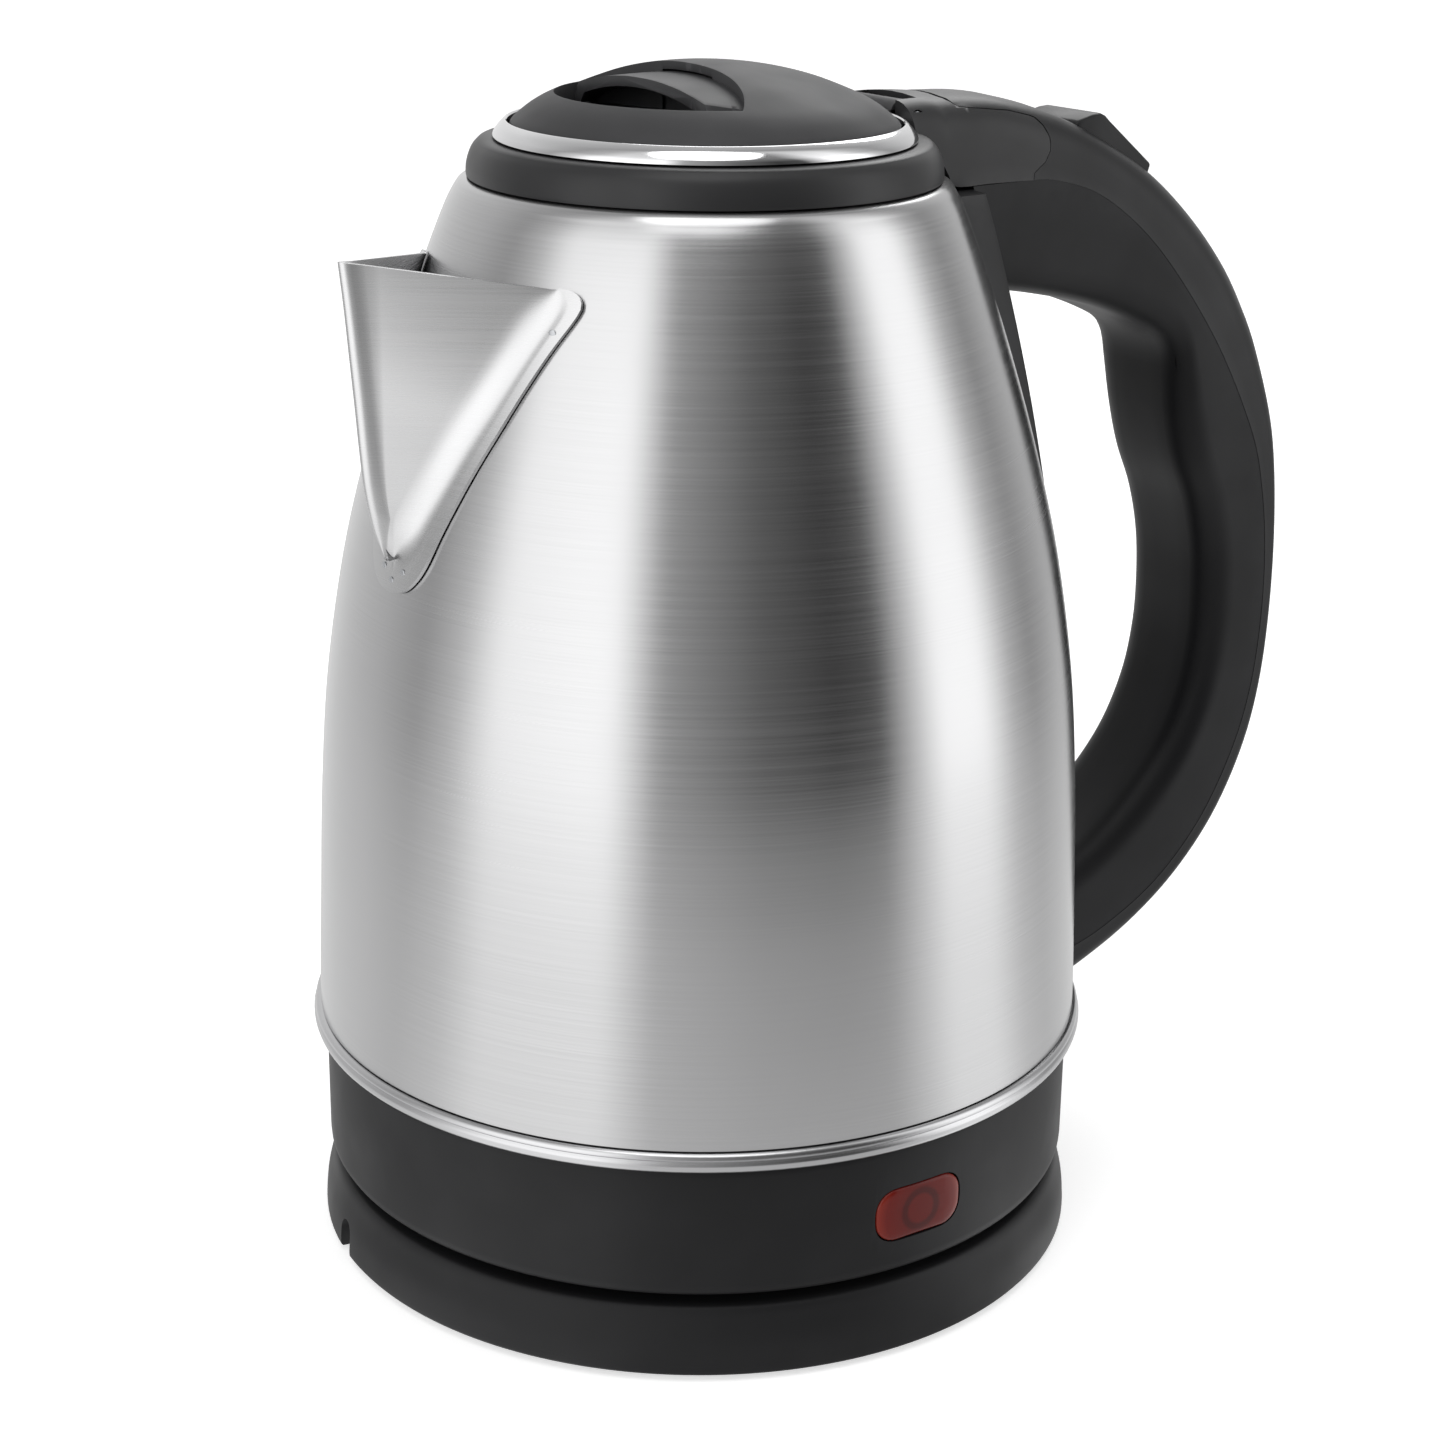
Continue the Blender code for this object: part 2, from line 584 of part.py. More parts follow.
def make_skirt(mats):
    inner = SKIRT_R - SKIRT_WALL
    skirt = turned("lower_skirt", [
        (inner, SKIRT_TOP), (SKIRT_R - 0.8, SKIRT_TOP), (SKIRT_R - 0.1, SKIRT_TOP - 0.9),
        (SKIRT_R, SKIRT_LOW + 2), (SKIRT_R - 0.8, SKIRT_LOW), (inner, SKIRT_LOW)], mats["black"],
        steps=FINE)
    lens_hole = plate("lens_cutter", [(x, LENS_Z + z) for x, z in
                                      stadium(LENS_W + 2 * GAP, LENS_H + 2 * GAP)], 6, cutter=True)
    lens_block = plate("lens_block", [(x, LENS_Z + z) for x, z in stadium(LENS_W, LENS_H)], 6,
                       cutter=True)
    angle = math.radians(LENS_TURN)
    for obj in (lens_hole, lens_block):
        obj.location = (SKIRT_R * math.sin(angle) * MM, -SKIRT_R * math.cos(angle) * MM, 0)
        obj.rotation_euler.z = angle
    cut(skirt, lens_hole)
    lens = turned("indicator_lens", [
        (inner - 0.4, LENS_Z + LENS_H), (SKIRT_R + 0.5, LENS_Z + LENS_H),
        (SKIRT_R + 0.5, LENS_Z - LENS_H), (inner - 0.4, LENS_Z - LENS_H)], mats["lens"], steps=FINE)
    boolean(lens, lens_block, "INTERSECT")
    reach = inner - 5
    x, y = reach * math.sin(angle), -reach * math.cos(angle)
    rod("indicator_lamp", (x - 6, y, LENS_Z), (x + 6, y, LENS_Z), 2.4, mats["lamp"], sides=12)
    hole = PLUG_R + SLIDE + 0.1 + SOCKET_WALL + 0.5
    floor = turned("skirt_floor", [
        (hole, SKIRT_LOW + 2.2), (inner - GAP, SKIRT_LOW + 2.2), (inner - GAP, SKIRT_LOW + 0.2),
        (hole, SKIRT_LOW + 0.2)], mats["black"], steps=MIDDLE)
    for i in range(3):
        a = math.radians(90 + 120 * i)
        x, y = SKIRT_SCREW_PLACE * math.cos(a), SKIRT_SCREW_PLACE * math.sin(a)
        low = SKIRT_LOW + 0.2
        cut(floor, screw_hole("floor_screw_hole_%d" % (i + 1), low + 4, low + 1.3, low - 1, (x, y)))
        screw("skirt_screw_%d" % (i + 1), low + 12, low + 0.2, mats["zinc"], (x, y))
    for i in range(2):
        y = HANDLE_SCREW_Y * (1 - 2 * i)
        drill = rod("handle_drill_%d" % (i + 1), (inner - 13, y, HANDLE_SCREW_Z),
                    (inner + 20, y, HANDLE_SCREW_Z), SCREW_HOLE_R, cutter=True, sides=12)
        cut(skirt, drill)
        driven = screw("handle_screw_%d" % (i + 1), 0, -18, mats["zinc"], (inner + 16, y))
        driven.rotation_euler.y = math.pi / 2
        driven.location.z = HANDLE_SCREW_Z * MM


# --- spout ------------------------------------------------------------------------------
def make_spout(mats):
    """A folded sheet: two walls that meet at the keel, and a flange on the body."""
    rows = 9
    heights = [SPOUT_LOW + (TIP_Z - SPOUT_LOW) * share for share, _ in KEEL]
    keel = smooth_line([(-body_radius(z) - out, z) for z, (_, out) in zip(heights, KEEL)], 4)
    crease_low = SPOUT_LOW + 5.6
    mesh = bpy.data.meshes.new("spout")
    bm = bmesh.new()
    grid = []
    for row in range(rows):
        t = row / (rows - 1)
        kx, kz = keel[min(round(t * (len(keel) - 1)), len(keel) - 1)]
        cz = crease_low + (SPOUT_TOP - crease_low) * t
        cy = SPOUT_HALF * (t + 0.22 * t * (1 - t))
        fz = SPOUT_LOW + (SPOUT_TOP - 2.6 - SPOUT_LOW) * t
        fy = cy + FLANGE_W * (1 - (1 - t) ** 6) if row < rows - 1 else cy + FLANGE_W * 0.75
        if row == rows - 1:
            fz = SPOUT_TOP - 0.5
        line = []
        for y, z in ((fy, fz), ((fy + cy) / 2, (fz + cz) / 2), (cy, cz)):
            reach = body_radius(z) + GAP + SHEET
            line.append(Vector((-math.sqrt(max(reach ** 2 - y ** 2, 1)), y, z)))
        wall = line[-1]
        nose = Vector((kx, 0, kz))
        for part in (0.35, 0.7, 0.92):
            bow = Vector((0.0, 1.0, 0.0)) * (0.6 * math.sin(math.pi * part) * t)
            line.append(wall.lerp(nose, part) + bow)
        line.append(nose)
        grid.append(line)
    columns = len(grid[0])
    left = [[bm.verts.new(p * MM) for p in line] for line in grid]
    right = []
    for row, line in enumerate(grid):
        mirrored = []
        for col, p in enumerate(line):
            shared = col == columns - 1 or row == 0
            mirrored.append(left[row][col] if shared else bm.verts.new(Vector((p.x, -p.y, p.z)) * MM))
        right.append(mirrored)
    for v in left[0]:
        v.co.y = 0
    for side, flip in ((left, False), (right, True)):
        for r in range(rows - 1):
            for c in range(columns - 1):
                ring = [side[r][c], side[r][c + 1], side[r + 1][c + 1], side[r + 1][c]]
                bm.faces.new(ring[::-1] if flip else ring)
    bmesh.ops.recalc_face_normals(bm, faces=bm.faces)
    if sum(f.normal.x for f in bm.faces) > 0:
        bmesh.ops.reverse_faces(bm, faces=bm.faces)
    bm.to_mesh(mesh)
    bm.free()
    obj = place("spout", mesh, mats["steel"])
    wall = obj.modifiers.new("wall", "SOLIDIFY")
    wall.thickness = SHEET * MM
    wall.offset = -1


# --- collar and lid ---------------------------------------------------------------------
def make_collar(mats, body_cut):
    low = BODY_TOP + GAP
    top = low + COLLAR_H
    pivot = hinge_height()
    ring = turned("collar", [
        (LID_OPENING_R, top), (RING_OUT_R + 0.5, top), (COLLAR_R - 1.7, top - 0.9),
        (COLLAR_R - 0.7, top - 2.2), (COLLAR_R - 0.1, top - 4.4), (COLLAR_R, low), (MOUTH_R - 0.9, low),
        (MOUTH_R - 0.9, low - 6), (LID_OPENING_R, low - 6)], mats["collar"], steps=FINE)
    crown = OUTER_LINE[0][1]
    seam = SEAM_LINE[0][1]
    rear = OUTER_LINE[0][0] - 2 * GAP
    bridge = plate("bridge", [
        (RING_OUT_R - GAP, top - 3), (RING_OUT_R - GAP, crown + 1.2), (46, crown + 1.5),
        (56, crown + 1.0), (rear, crown), (SEAM_LINE[0][0] - 2 * GAP, seam + GAP),
        (NECK_R + 6, seam + GAP),
        (NECK_R + 1.5, low)], BRIDGE_HALF, cutter=True,
        rounded=lambda x, z: z > top + 2 and RING_OUT_R + 1 < x < rear - 1, radius=6)
    join(ring, cut(bridge, body_cut))
    slot = block("hinge_slot", (LID_R - 1, -TAB_HALF - SLIDE, pivot - KNUCKLE_R - 0.8),
                 (HINGE_X + KNUCKLE_R + 0.7, TAB_HALF + SLIDE, crown + 9), cutter=True)
    pin_hole = rod("pin_hole", (HINGE_X, -12, pivot), (HINGE_X, 12, pivot), HINGE_PIN_R + GAP,
                   cutter=True, sides=12)
    duct_z = low + DUCT_R + 1.2
    duct = rod("steam_duct", (LID_OPENING_R - 3, 0, duct_z), (rear + 12, 0, duct_z), DUCT_R,
               cutter=True, sides=12)
    keeper = block("keeper", (-LID_OPENING_R - 2.4, -BOLT_HALF - 1, top - 4.6),
                   (-LID_OPENING_R + 2, BOLT_HALF + 1, top - 1.2), cutter=True)
    cut(ring, slot, pin_hole, duct, keeper)
    rod("hinge_pin", (HINGE_X, -11.6, pivot), (HINGE_X, 11.6, pivot), HINGE_PIN_R, mats["zinc"],
        sides=12)
    trim = turned("trim_ring", [
        (RING_IN_R, top + GAP + RING_H), (RING_IN_R + 0.7, top + GAP + RING_H),
        (RING_OUT_R - 0.7, top + GAP + 1.4), (RING_OUT_R, top + GAP), (RING_IN_R + 0.4, top + GAP),
        (RING_IN_R, top + GAP + 0.5)], mats["chrome"], steps=FINE)
    cut(trim, slot)
    turned("collar_gasket", [
        (MOUTH_R - 0.6, low - GAP - SHEET - 0.4), (MOUTH_R + 2, low - GAP - SHEET - 0.4),
        (MOUTH_R + 2, low - 2.8), (MOUTH_R - 0.6, low - 2.8)], mats["rubber"], steps=MIDDLE)
    return top, duct


def make_lid(mats, collar_top):
    """Domed lid with a finger recess, its inner cover, gasket and screws, and its latch."""
    edge = collar_top + LID_RISE
    crown = edge + DOME_H
    low = collar_top - 6.0
    pivot = hinge_height()
    dome = turned("lid_dome", dome_outline(LID_R, crown, 0, collar_top - 1)[:-1] +
                  [(LID_R - 0.5, low), (0, low)], mats["lid"], steps=MIDDLE)
    floor_top = crown - 9.4
    hollow = turned("lid_hollow", [(0, floor_top - 1.6), (LID_R - 2.4, floor_top - 1.6),
                                   (LID_R - 2.6, low - 2), (0, low - 2)], steps=MIDDLE, cutter=True)
    rear_hollow = turned("lid_rear_hollow",
                         dome_outline(LID_R - 3.2, crown, DOME_WALL, floor_top - 3), steps=MIDDLE,
                         cutter=True)
    cut(rear_hollow, block("front_half", (-60, -60, 150), (HOOD_X - 0.1, 60, 300), cutter=True))
    scoop = turned("lid_scoop", [(0, crown + 20), (SCOOP_R + 4, crown + 20), (SCOOP_R, crown - 5.4),
                                 (SCOOP_R - 1.3, floor_top), (0, floor_top)], steps=MIDDLE, cutter=True)
    cut(scoop, block("rear_half", (HOOD_X, -60, 150), (60, 60, 300), cutter=True))
    bolt_way = block("bolt_way", (-LID_R - 2, -BOLT_HALF - SLIDE, collar_top - 4.2),
                     (-LID_R + 6, BOLT_HALF + SLIDE, collar_top - 1.4), cutter=True)
    cut(dome, hollow, rear_hollow, scoop, bolt_way)
    tab = block("hinge_tab", (LID_R - 4, -TAB_HALF, pivot - 1.6), (HINGE_X, TAB_HALF, pivot + 1.0),
                cutter=True)
    knuckle = rod("knuckle", (HINGE_X, -TAB_HALF, pivot), (HINGE_X, TAB_HALF, pivot), KNUCKLE_R,
                  cutter=True, sides=16)
    bore = rod("knuckle_bore", (HINGE_X, -20, pivot), (HINGE_X, 20, pivot), HINGE_PIN_R + 0.2,
               cutter=True, sides=12)
    join(dome, tab, knuckle)
    cut(dome, bore)
    inner = turned("lid_inner_cover", [
        (0, low - GAP), (LID_R - 0.9, low - GAP), (LID_R - 0.9, low - GAP - 0.8),
        (30, low - GAP - 0.8), (28, low - GAP - 2.4), (0, low - GAP - 2.4)], mats["steel"], steps=MIDDLE)
    turned("lid_gasket", [
        (30.5, low - 2 * GAP - 0.8), (LID_R - 0.6, low - 2 * GAP - 0.8),
        (LID_R - 0.4, low - 2 * GAP - 2.0), (30.5, low - 2 * GAP - 2.4)], mats["rubber"], steps=MIDDLE)
    for i in range(2):
        y = 16.0 * (1 - 2 * i)
        cut(inner, rod("lid_screw_hole_%d" % (i + 1), (8, y, low - 6), (8, y, low + 1),
                       SCREW_HOLE_R, cutter=True, sides=12))
        screw("lid_screw_%d" % (i + 1), low + 2, low - 4.0, mats["zinc"], (8, y))
    make_latch(mats, crown, floor_top, collar_top)


def make_latch(mats, crown, floor_top, collar_top):
    """The pull under the hood and the bolt that it draws back."""
    sink = DOME_WALL + 0.6
    side = SCOOP_R - 2.0
    outer = [(side * i / 5, dome_height(side * i / 5, crown) - sink) for i in range(6)]
    inner = [(r * 0.93, z - 1.6) for r, z in reversed(outer)]
    low = floor_top + 0.5
    pull = turned("latch_pull", outer + [(side, low), (side * 0.93, low)] + inner, mats["latch"],
                  steps=MIDDLE)
    keep = block("pull_keep", (HOOD_X - 10, -60, 150), (HOOD_X + 8, 60, 300), cutter=True)
    web = block("pull_web", (HOOD_X + 1.5, -9, collar_top - 3.8), (HOOD_X + 4, 9, crown - 4.2),
                cutter=True)
    boolean(pull, keep, "INTERSECT")
    join(pull, web)
    block("latch_bolt", (-LID_R - 0.4, -BOLT_HALF, collar_top - 3.8),
          (HOOD_X + 1.5 - GAP, BOLT_HALF, collar_top - 1.8), mats["grey"])
    coil = []
    for i in range(31):
        angle = 2 * math.pi * i / 6
        x = HOOD_X + 4.8 + 12 * i / 30
        coil.append((x, 2.2 * math.cos(angle), collar_top - 1.0 + 2.2 * math.sin(angle)))
    tube("latch_spring", coil, 0.35, mats["zinc"])


# --- handle -----------------------------------------------------------------------------
def rocker_frame():
    """Middle of the rocker's seat on the back cover, and the slope there."""
    slope = math.atan2(OUTER_LINE[1][1] - OUTER_LINE[3][1], OUTER_LINE[3][0] - OUTER_LINE[1][0])
    middle = (OUTER_LINE[2][0] + 0.6, OUTER_LINE[2][1] - 0.6)
    return middle, slope


def on_seat(along, out):
    """A point in (x, z) from its place along the rocker's seat and out of it."""
    (x, z), slope = rocker_frame()
    return (x + along * math.cos(slope) + out * math.sin(slope),
            z - along * math.sin(slope) + out * math.cos(slope))


def make_handle(mats, body_cut, duct):
    outer = smooth_line(OUTER_LINE, 2)
    seam = smooth_line(SEAM_LINE, 2)
    inner = smooth_line(INNER_LINE, 2)
    cover = plate("handle_cover", outer + offset_line(seam, GAP / 2)[::-1], GRIP_HALF, mats["cover"],
                  rounded=lambda x, z: near(outer, x, z) and x > HANDLE_START, radius=GRIP_ROUND)
    front = [(body_radius(z) + STRIP_PROUD + GAP, z)
             for z in breaks_between(inner[0][1], seam[0][1] - GAP)]
    grip = plate("handle_grip", offset_line(seam, -GAP / 2) + inner[::-1][:-1] + front, GRIP_HALF,
                 mats["grip"], rounded=lambda x, z: near(inner, x, z) and x > HANDLE_START,
                 radius=GRIP_ROUND)
    hollow_out = offset_line(outer, -GRIP_WALL)
    hollow_in = offset_line(inner, GRIP_WALL)
    hollow = plate("handle_hollow", [p for p in hollow_out if p[0] > HANDLE_START] +
                   [p for p in hollow_in if p[0] > HANDLE_START][::-1], GRIP_HALF - GRIP_WALL - 1.2,
                   cutter=True)
    slot = plate("rocker_slot", [on_seat(-ROCKER_LEN / 2 - 0.9, -7), on_seat(ROCKER_LEN / 2 + 0.9, -7),
                                 on_seat(ROCKER_LEN / 2 + 0.9, 12), on_seat(-ROCKER_LEN / 2 - 0.9, 12)],
                 ROCKER_HALF + 0.5, cutter=True)
    pivot = on_seat(0, -3.0)
    pin_hole = rod("rocker_pin_hole", (pivot[0], -12.2, pivot[1]), (pivot[0], 12.2, pivot[1]),
                   PIVOT_R + 0.2, cutter=True, sides=12)
    drills = [bpy.data.objects["handle_drill_%d" % (i + 1)] for i in range(2)]
    cut(cover, body_cut, hollow, slot, pin_hole, duct)
    cut(grip, body_cut, hollow, *drills)
    rocker = plate("switch_rocker", [
        on_seat(-ROCKER_LEN / 2, -5), on_seat(ROCKER_LEN / 2, -5), on_seat(ROCKER_LEN / 2 + 0.2, -0.4),
        on_seat(ROCKER_LEN / 2, 1.4), on_seat(-ROCKER_LEN * 0.2, ROCKER_PEAK),
        on_seat(-ROCKER_LEN * 0.28, ROCKER_PEAK - 0.1), on_seat(-ROCKER_LEN / 2, 0.7)], ROCKER_HALF,
        mats["rocker"])
    cut(rocker, rod("rocker_bore", (pivot[0], -15, pivot[1]), (pivot[0], 15, pivot[1]),
                    PIVOT_R + 0.2, cutter=True, sides=12))
    rod("rocker_pin", (pivot[0], -11.8, pivot[1]), (pivot[0], 11.8, pivot[1]), PIVOT_R, mats["zinc"],
        sides=12)


def near(line, x, z):
    return min((px - x) ** 2 + (pz - z) ** 2 for px, pz in line) < 36


def make_strip(mats, body_cut):
    """The moulding on the body behind the handle."""
    low = height_on(INNER_LINE, BODY_R + STRIP_PROUD + 4) + GAP
    high = SEAM_LINE[0][1] - 0.6
    heights = breaks_between(low, high)
    front = [(body_radius(z) + STRIP_PROUD, z) for z in heights]
    back = [(body_radius(z) - 5, z) for z in reversed(heights)]
    strip = plate("handle_strip", front + back, STRIP_HALF, mats["cover"],
                  rounded=lambda x, z: near(front, x, z) and low + 1 < z < high - 1, radius=2.5)
    cut(strip, body_cut)


def make_steam_switch(mats):
    """The switch in the handle: its body, snap disc, over-centre lever and wires."""
    depth = SWITCH_SHARE * (OUTER_LINE[2][1] - INNER_LINE[2][1])
    x, z = on_seat(2, -depth)
    block("steam_switch_body", (x - 9, -7, z - 6), (x + 9, 7, z + 3), mats["ivory"])
    rod("steam_disc", (x - 10.6, 0, z - 1.5), (x - 9.6, 0, z - 1.5), 4.4, mats["brass"], sides=20)
    x, z = on_seat(2, LEVER_RISE - depth)
    plate("switch_lever", [(x - 7, z - 0.2), (x + 5, z - 0.2), (x + 5, z - 1.6), (x - 7, z - 1.6)],
          3, mats["ivory"])


def make_wires(mats):
    """Two leads from the switch down the hollow handle to the control."""
    outer = offset_line(smooth_line(OUTER_LINE, 1), -GRIP_WALL - 4.0)
    route = [p for p in outer if p[0] > BODY_R + 1.4 and p[1] < BODY_TOP - 14]
    for i in range(2):
        y = 3.0 * (1 - 2 * i)
        points = [(px, y, pz) for px, pz in smooth_line(route, 1)]
        tube("switch_wire_%d" % (i + 1), points, WIRE_R, mats["wire"])


def main():
    start_clean()
    mats = {
        "black": finish_of("black_plastic", (0.028, 0.028, 0.030), 0.5),
        "grip": finish_of("grip_plastic", (0.022, 0.022, 0.024), 0.5),
        "cover": finish_of("cover_plastic", (0.05, 0.05, 0.052), 0.4),
        "collar": finish_of("collar_plastic", (0.04, 0.04, 0.042), 0.4),
        "lid": finish_of("lid_plastic", (0.06, 0.06, 0.063), 0.5),
        "latch": finish_of("latch_plastic", (0.07, 0.07, 0.073), 0.5),
        "rocker": finish_of("rocker_plastic", (0.03, 0.03, 0.032), 0.45),
        "grey": finish_of("grey_nylon", (0.2, 0.2, 0.21), 0.5),
        "ivory": finish_of("control_moulding", (0.6, 0.57, 0.5), 0.5),
        "rubber": finish_of("rubber", (0.03, 0.03, 0.03), 0.8),
        "steel": finish_of("brushed_steel", (0.62, 0.62, 0.62), 0.3, 1.0),
        "chrome": finish_of("chrome", (0.8, 0.8, 0.8), 0.08, 1.0),
        "aluminium": finish_of("aluminium", (0.75, 0.75, 0.76), 0.4, 1.0),
        "brass": finish_of("brass", (0.75, 0.55, 0.25), 0.3, 1.0),
        "zinc": finish_of("zinc", (0.55, 0.56, 0.58), 0.4, 1.0),
        "lens": finish_of("red_lens", (0.35, 0.03, 0.025), 0.25),
        "lamp": finish_of("lamp_glass", (0.8, 0.5, 0.3), 0.1),
        "wire": finish_of("wire_insulation", (0.1, 0.1, 0.3), 0.5),
    }
    make_base(mats)
    make_plug(mats)
    plate_low = make_body(mats)
    make_socket(mats, plate_low)
    make_skirt(mats)
    make_spout(mats)
    body_cut = envelope("envelope", GAP)
    top, duct = make_collar(mats, body_cut)
    make_lid(mats, top)
    make_handle(mats, body_cut, duct)
    make_strip(mats, body_cut)
    make_steam_switch(mats)
    make_wires(mats)


main()
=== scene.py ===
# %% [markdown]
# # A cordless electric kettle, piece by piece
# The kettle is already built as a rigid frame whose bodies move on joints. This lesson
# gives that frame its looks: each visible piece is modelled again with finer surfaces and
# every piece gets a finish. The frame comes first, because all places are read from it.

# %% Load the frame
import math

import bmesh
import bpy
from mathutils import Matrix, Vector


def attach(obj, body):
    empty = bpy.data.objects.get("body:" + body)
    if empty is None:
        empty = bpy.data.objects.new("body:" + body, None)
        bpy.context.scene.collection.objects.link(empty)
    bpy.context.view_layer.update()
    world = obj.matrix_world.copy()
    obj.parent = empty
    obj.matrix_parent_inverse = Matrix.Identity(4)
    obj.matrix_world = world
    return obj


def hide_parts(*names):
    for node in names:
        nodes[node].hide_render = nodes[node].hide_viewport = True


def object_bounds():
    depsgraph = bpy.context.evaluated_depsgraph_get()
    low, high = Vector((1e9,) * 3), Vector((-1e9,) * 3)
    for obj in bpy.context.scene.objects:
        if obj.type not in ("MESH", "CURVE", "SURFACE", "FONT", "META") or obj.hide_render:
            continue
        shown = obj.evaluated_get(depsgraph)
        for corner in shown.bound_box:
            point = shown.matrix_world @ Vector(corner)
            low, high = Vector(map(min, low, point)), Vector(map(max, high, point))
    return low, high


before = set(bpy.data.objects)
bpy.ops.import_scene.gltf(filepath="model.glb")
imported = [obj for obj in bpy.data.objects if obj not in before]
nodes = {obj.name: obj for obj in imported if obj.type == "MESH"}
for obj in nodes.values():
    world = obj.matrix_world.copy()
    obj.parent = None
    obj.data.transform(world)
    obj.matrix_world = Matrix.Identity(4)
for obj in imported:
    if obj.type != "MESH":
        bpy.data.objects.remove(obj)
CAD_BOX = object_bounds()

MM = 0.001                       # the sizes below are in millimetres

# %% [markdown]
# ## The camera
# The kettle is seen from the spout's side, a little from above. A long lens keeps the
# upright lines nearly parallel. The camera is placed with a matrix made from the way it
# looks and a very small roll.

# %% Camera
EYE = Vector((-0.31728, -0.43484, 0.28811))
LOOK = Vector((0.56345, 0.75868, -0.32700)).normalized()
ROLL = math.radians(0.725)
LENS = 71.231

level_right = LOOK.cross(Vector((0, 0, 1))).normalized()
level_up = level_right.cross(LOOK)
right = level_right * math.cos(ROLL) + level_up * math.sin(ROLL)
up = level_up * math.cos(ROLL) - level_right * math.sin(ROLL)
camera = bpy.data.objects.new("camera", bpy.data.cameras.new("camera"))
bpy.context.scene.collection.objects.link(camera)
camera.data.lens = LENS
camera.data.sensor_width = 36.0
camera.data.clip_start = 0.01
camera.matrix_world = Matrix((
    (right.x, up.x, -LOOK.x, EYE.x),
    (right.y, up.y, -LOOK.y, EYE.y),
    (right.z, up.z, -LOOK.z, EYE.z),
    (0, 0, 0, 1)))
bpy.context.scene.camera = camera
print("camera at", [round(c, 3) for c in EYE])

# %% [markdown]
# ## Floor, room and lamps
# Polished metal has no look of its own: it shows the room. A studio's tall soft boxes give
# the bright upright bands on the body and the dark room between them gives the dark band.
# The room could be built from cards, but a world shader that depends on the compass
# direction does the same with no geometry. The eye itself sees plain white.

# %% The room as a world shader
ROOM = [                         # degrees round from the eye's direction, brightness
    (-180, 0.86), (-150, 0.78), (-112, 0.60), (-92, 0.40), (-76, 0.72), (-62, 1.45),
    (-26, 1.62), (-12, 0.42), (0, 0.30), (18, 0.14), (40, 0.05), (55, 0.08), (66, 0.80),
    (76, 1.60), (92, 1.60), (106, 0.62), (118, 0.34), (142, 0.62), (180, 0.86)]
ROOM_TOP = 0.34                  # brightness straight above
CEILING_RISE, CEILING_START = 1.6, -0.75    # the walls turn into ceiling from 28 degrees up
eye_turn = math.atan2(EYE.y, EYE.x)

world = bpy.data.worlds.new("studio")
bpy.context.scene.world = world
world.use_nodes = True
net = world.node_tree
net.nodes.clear()


def node(tree, kind, **inputs):
    """A shader node with its unlinked sockets set by name or number."""
    made = tree.nodes.new(kind)
    for key, value in inputs.items():
        place = int(key[1:]) if key[0] == "i" and key[1:].isdigit() else key.replace("_", " ")
        made.inputs[place].default_value = value
    return made


def math_node(tree, operation, a, b=None, c=None):
    """A Math node; each value is a number or another node's socket."""
    made = tree.nodes.new("ShaderNodeMath")
    made.operation = operation
    for place, value in enumerate((a, b, c)):
        if isinstance(value, (int, float)):
            made.inputs[place].default_value = value
        elif value is not None:
            tree.links.new(value, made.inputs[place])
    return made.outputs[0]


def ramp(tree, factor, stops):
    """A colour ramp through (place, grey or colour) stops."""
    made = tree.nodes.new("ShaderNodeValToRGB")
    tree.links.new(factor, made.inputs[0])
    points = made.color_ramp.elements
    while len(points) < len(stops):
        points.new(0.5)
    for point, (at, colour) in zip(points, stops):
        point.position = at
        grey = isinstance(colour, (int, float))
        point.color = (colour, colour, colour, 1.0) if grey else (*colour, 1.0)
    return made.outputs["Color"]


def turn_from_eye(tree, parts):
    """Compass turn of a separated vector, counted from the eye's direction."""
    turn = math_node(tree, "ARCTAN2", parts.outputs["Y"], parts.outputs["X"])
    return math_node(tree, "WRAP", math_node(tree, "SUBTRACT", turn, eye_turn), math.pi, -math.pi)


def room_bands(tree, turn):
    """Half the brightness of the room's wall at a compass turn."""
    share = math_node(tree, "MULTIPLY_ADD", turn, 0.5 / math.pi, 0.5)
    return ramp(tree, share, [((d + 180) / 360, b / 2) for d, b in ROOM])


direction = net.nodes.new("ShaderNodeTexCoord").outputs["Generated"]
parts = net.nodes.new("ShaderNodeSeparateXYZ")
net.links.new(direction, parts.inputs[0])
walls = room_bands(net, turn_from_eye(net, parts))
height = math_node(net, "MULTIPLY_ADD", parts.outputs["Z"], CEILING_RISE, CEILING_START)
overhead = math_node(net, "MINIMUM", math_node(net, "MAXIMUM", height, 0.0), 1.0)
mix = net.nodes.new("ShaderNodeMix")
mix.data_type = "RGBA"
net.links.new(overhead, mix.inputs["Factor"])
net.links.new(walls, mix.inputs["A"])
mix.inputs["B"].default_value = (ROOM_TOP / 2, ROOM_TOP / 2, ROOM_TOP / 2, 1)
room = node(net, "ShaderNodeBackground", Strength=2.0)
net.links.new(mix.outputs["Result"], room.inputs["Color"])
white = node(net, "ShaderNodeBackground", Color=(1, 1, 1, 1), Strength=1.0)
choose = net.nodes.new("ShaderNodeMixShader")
net.links.new(net.nodes.new("ShaderNodeLightPath").outputs["Is Camera Ray"], choose.inputs[0])
net.links.new(room.outputs[0], choose.inputs[1])
net.links.new(white.outputs[0], choose.inputs[2])
net.links.new(choose.outputs[0], net.nodes.new("ShaderNodeOutputWorld").inputs["Surface"])
bpy.context.scene.view_settings.view_transform = "Standard"
print("room with", len(ROOM), "bands")

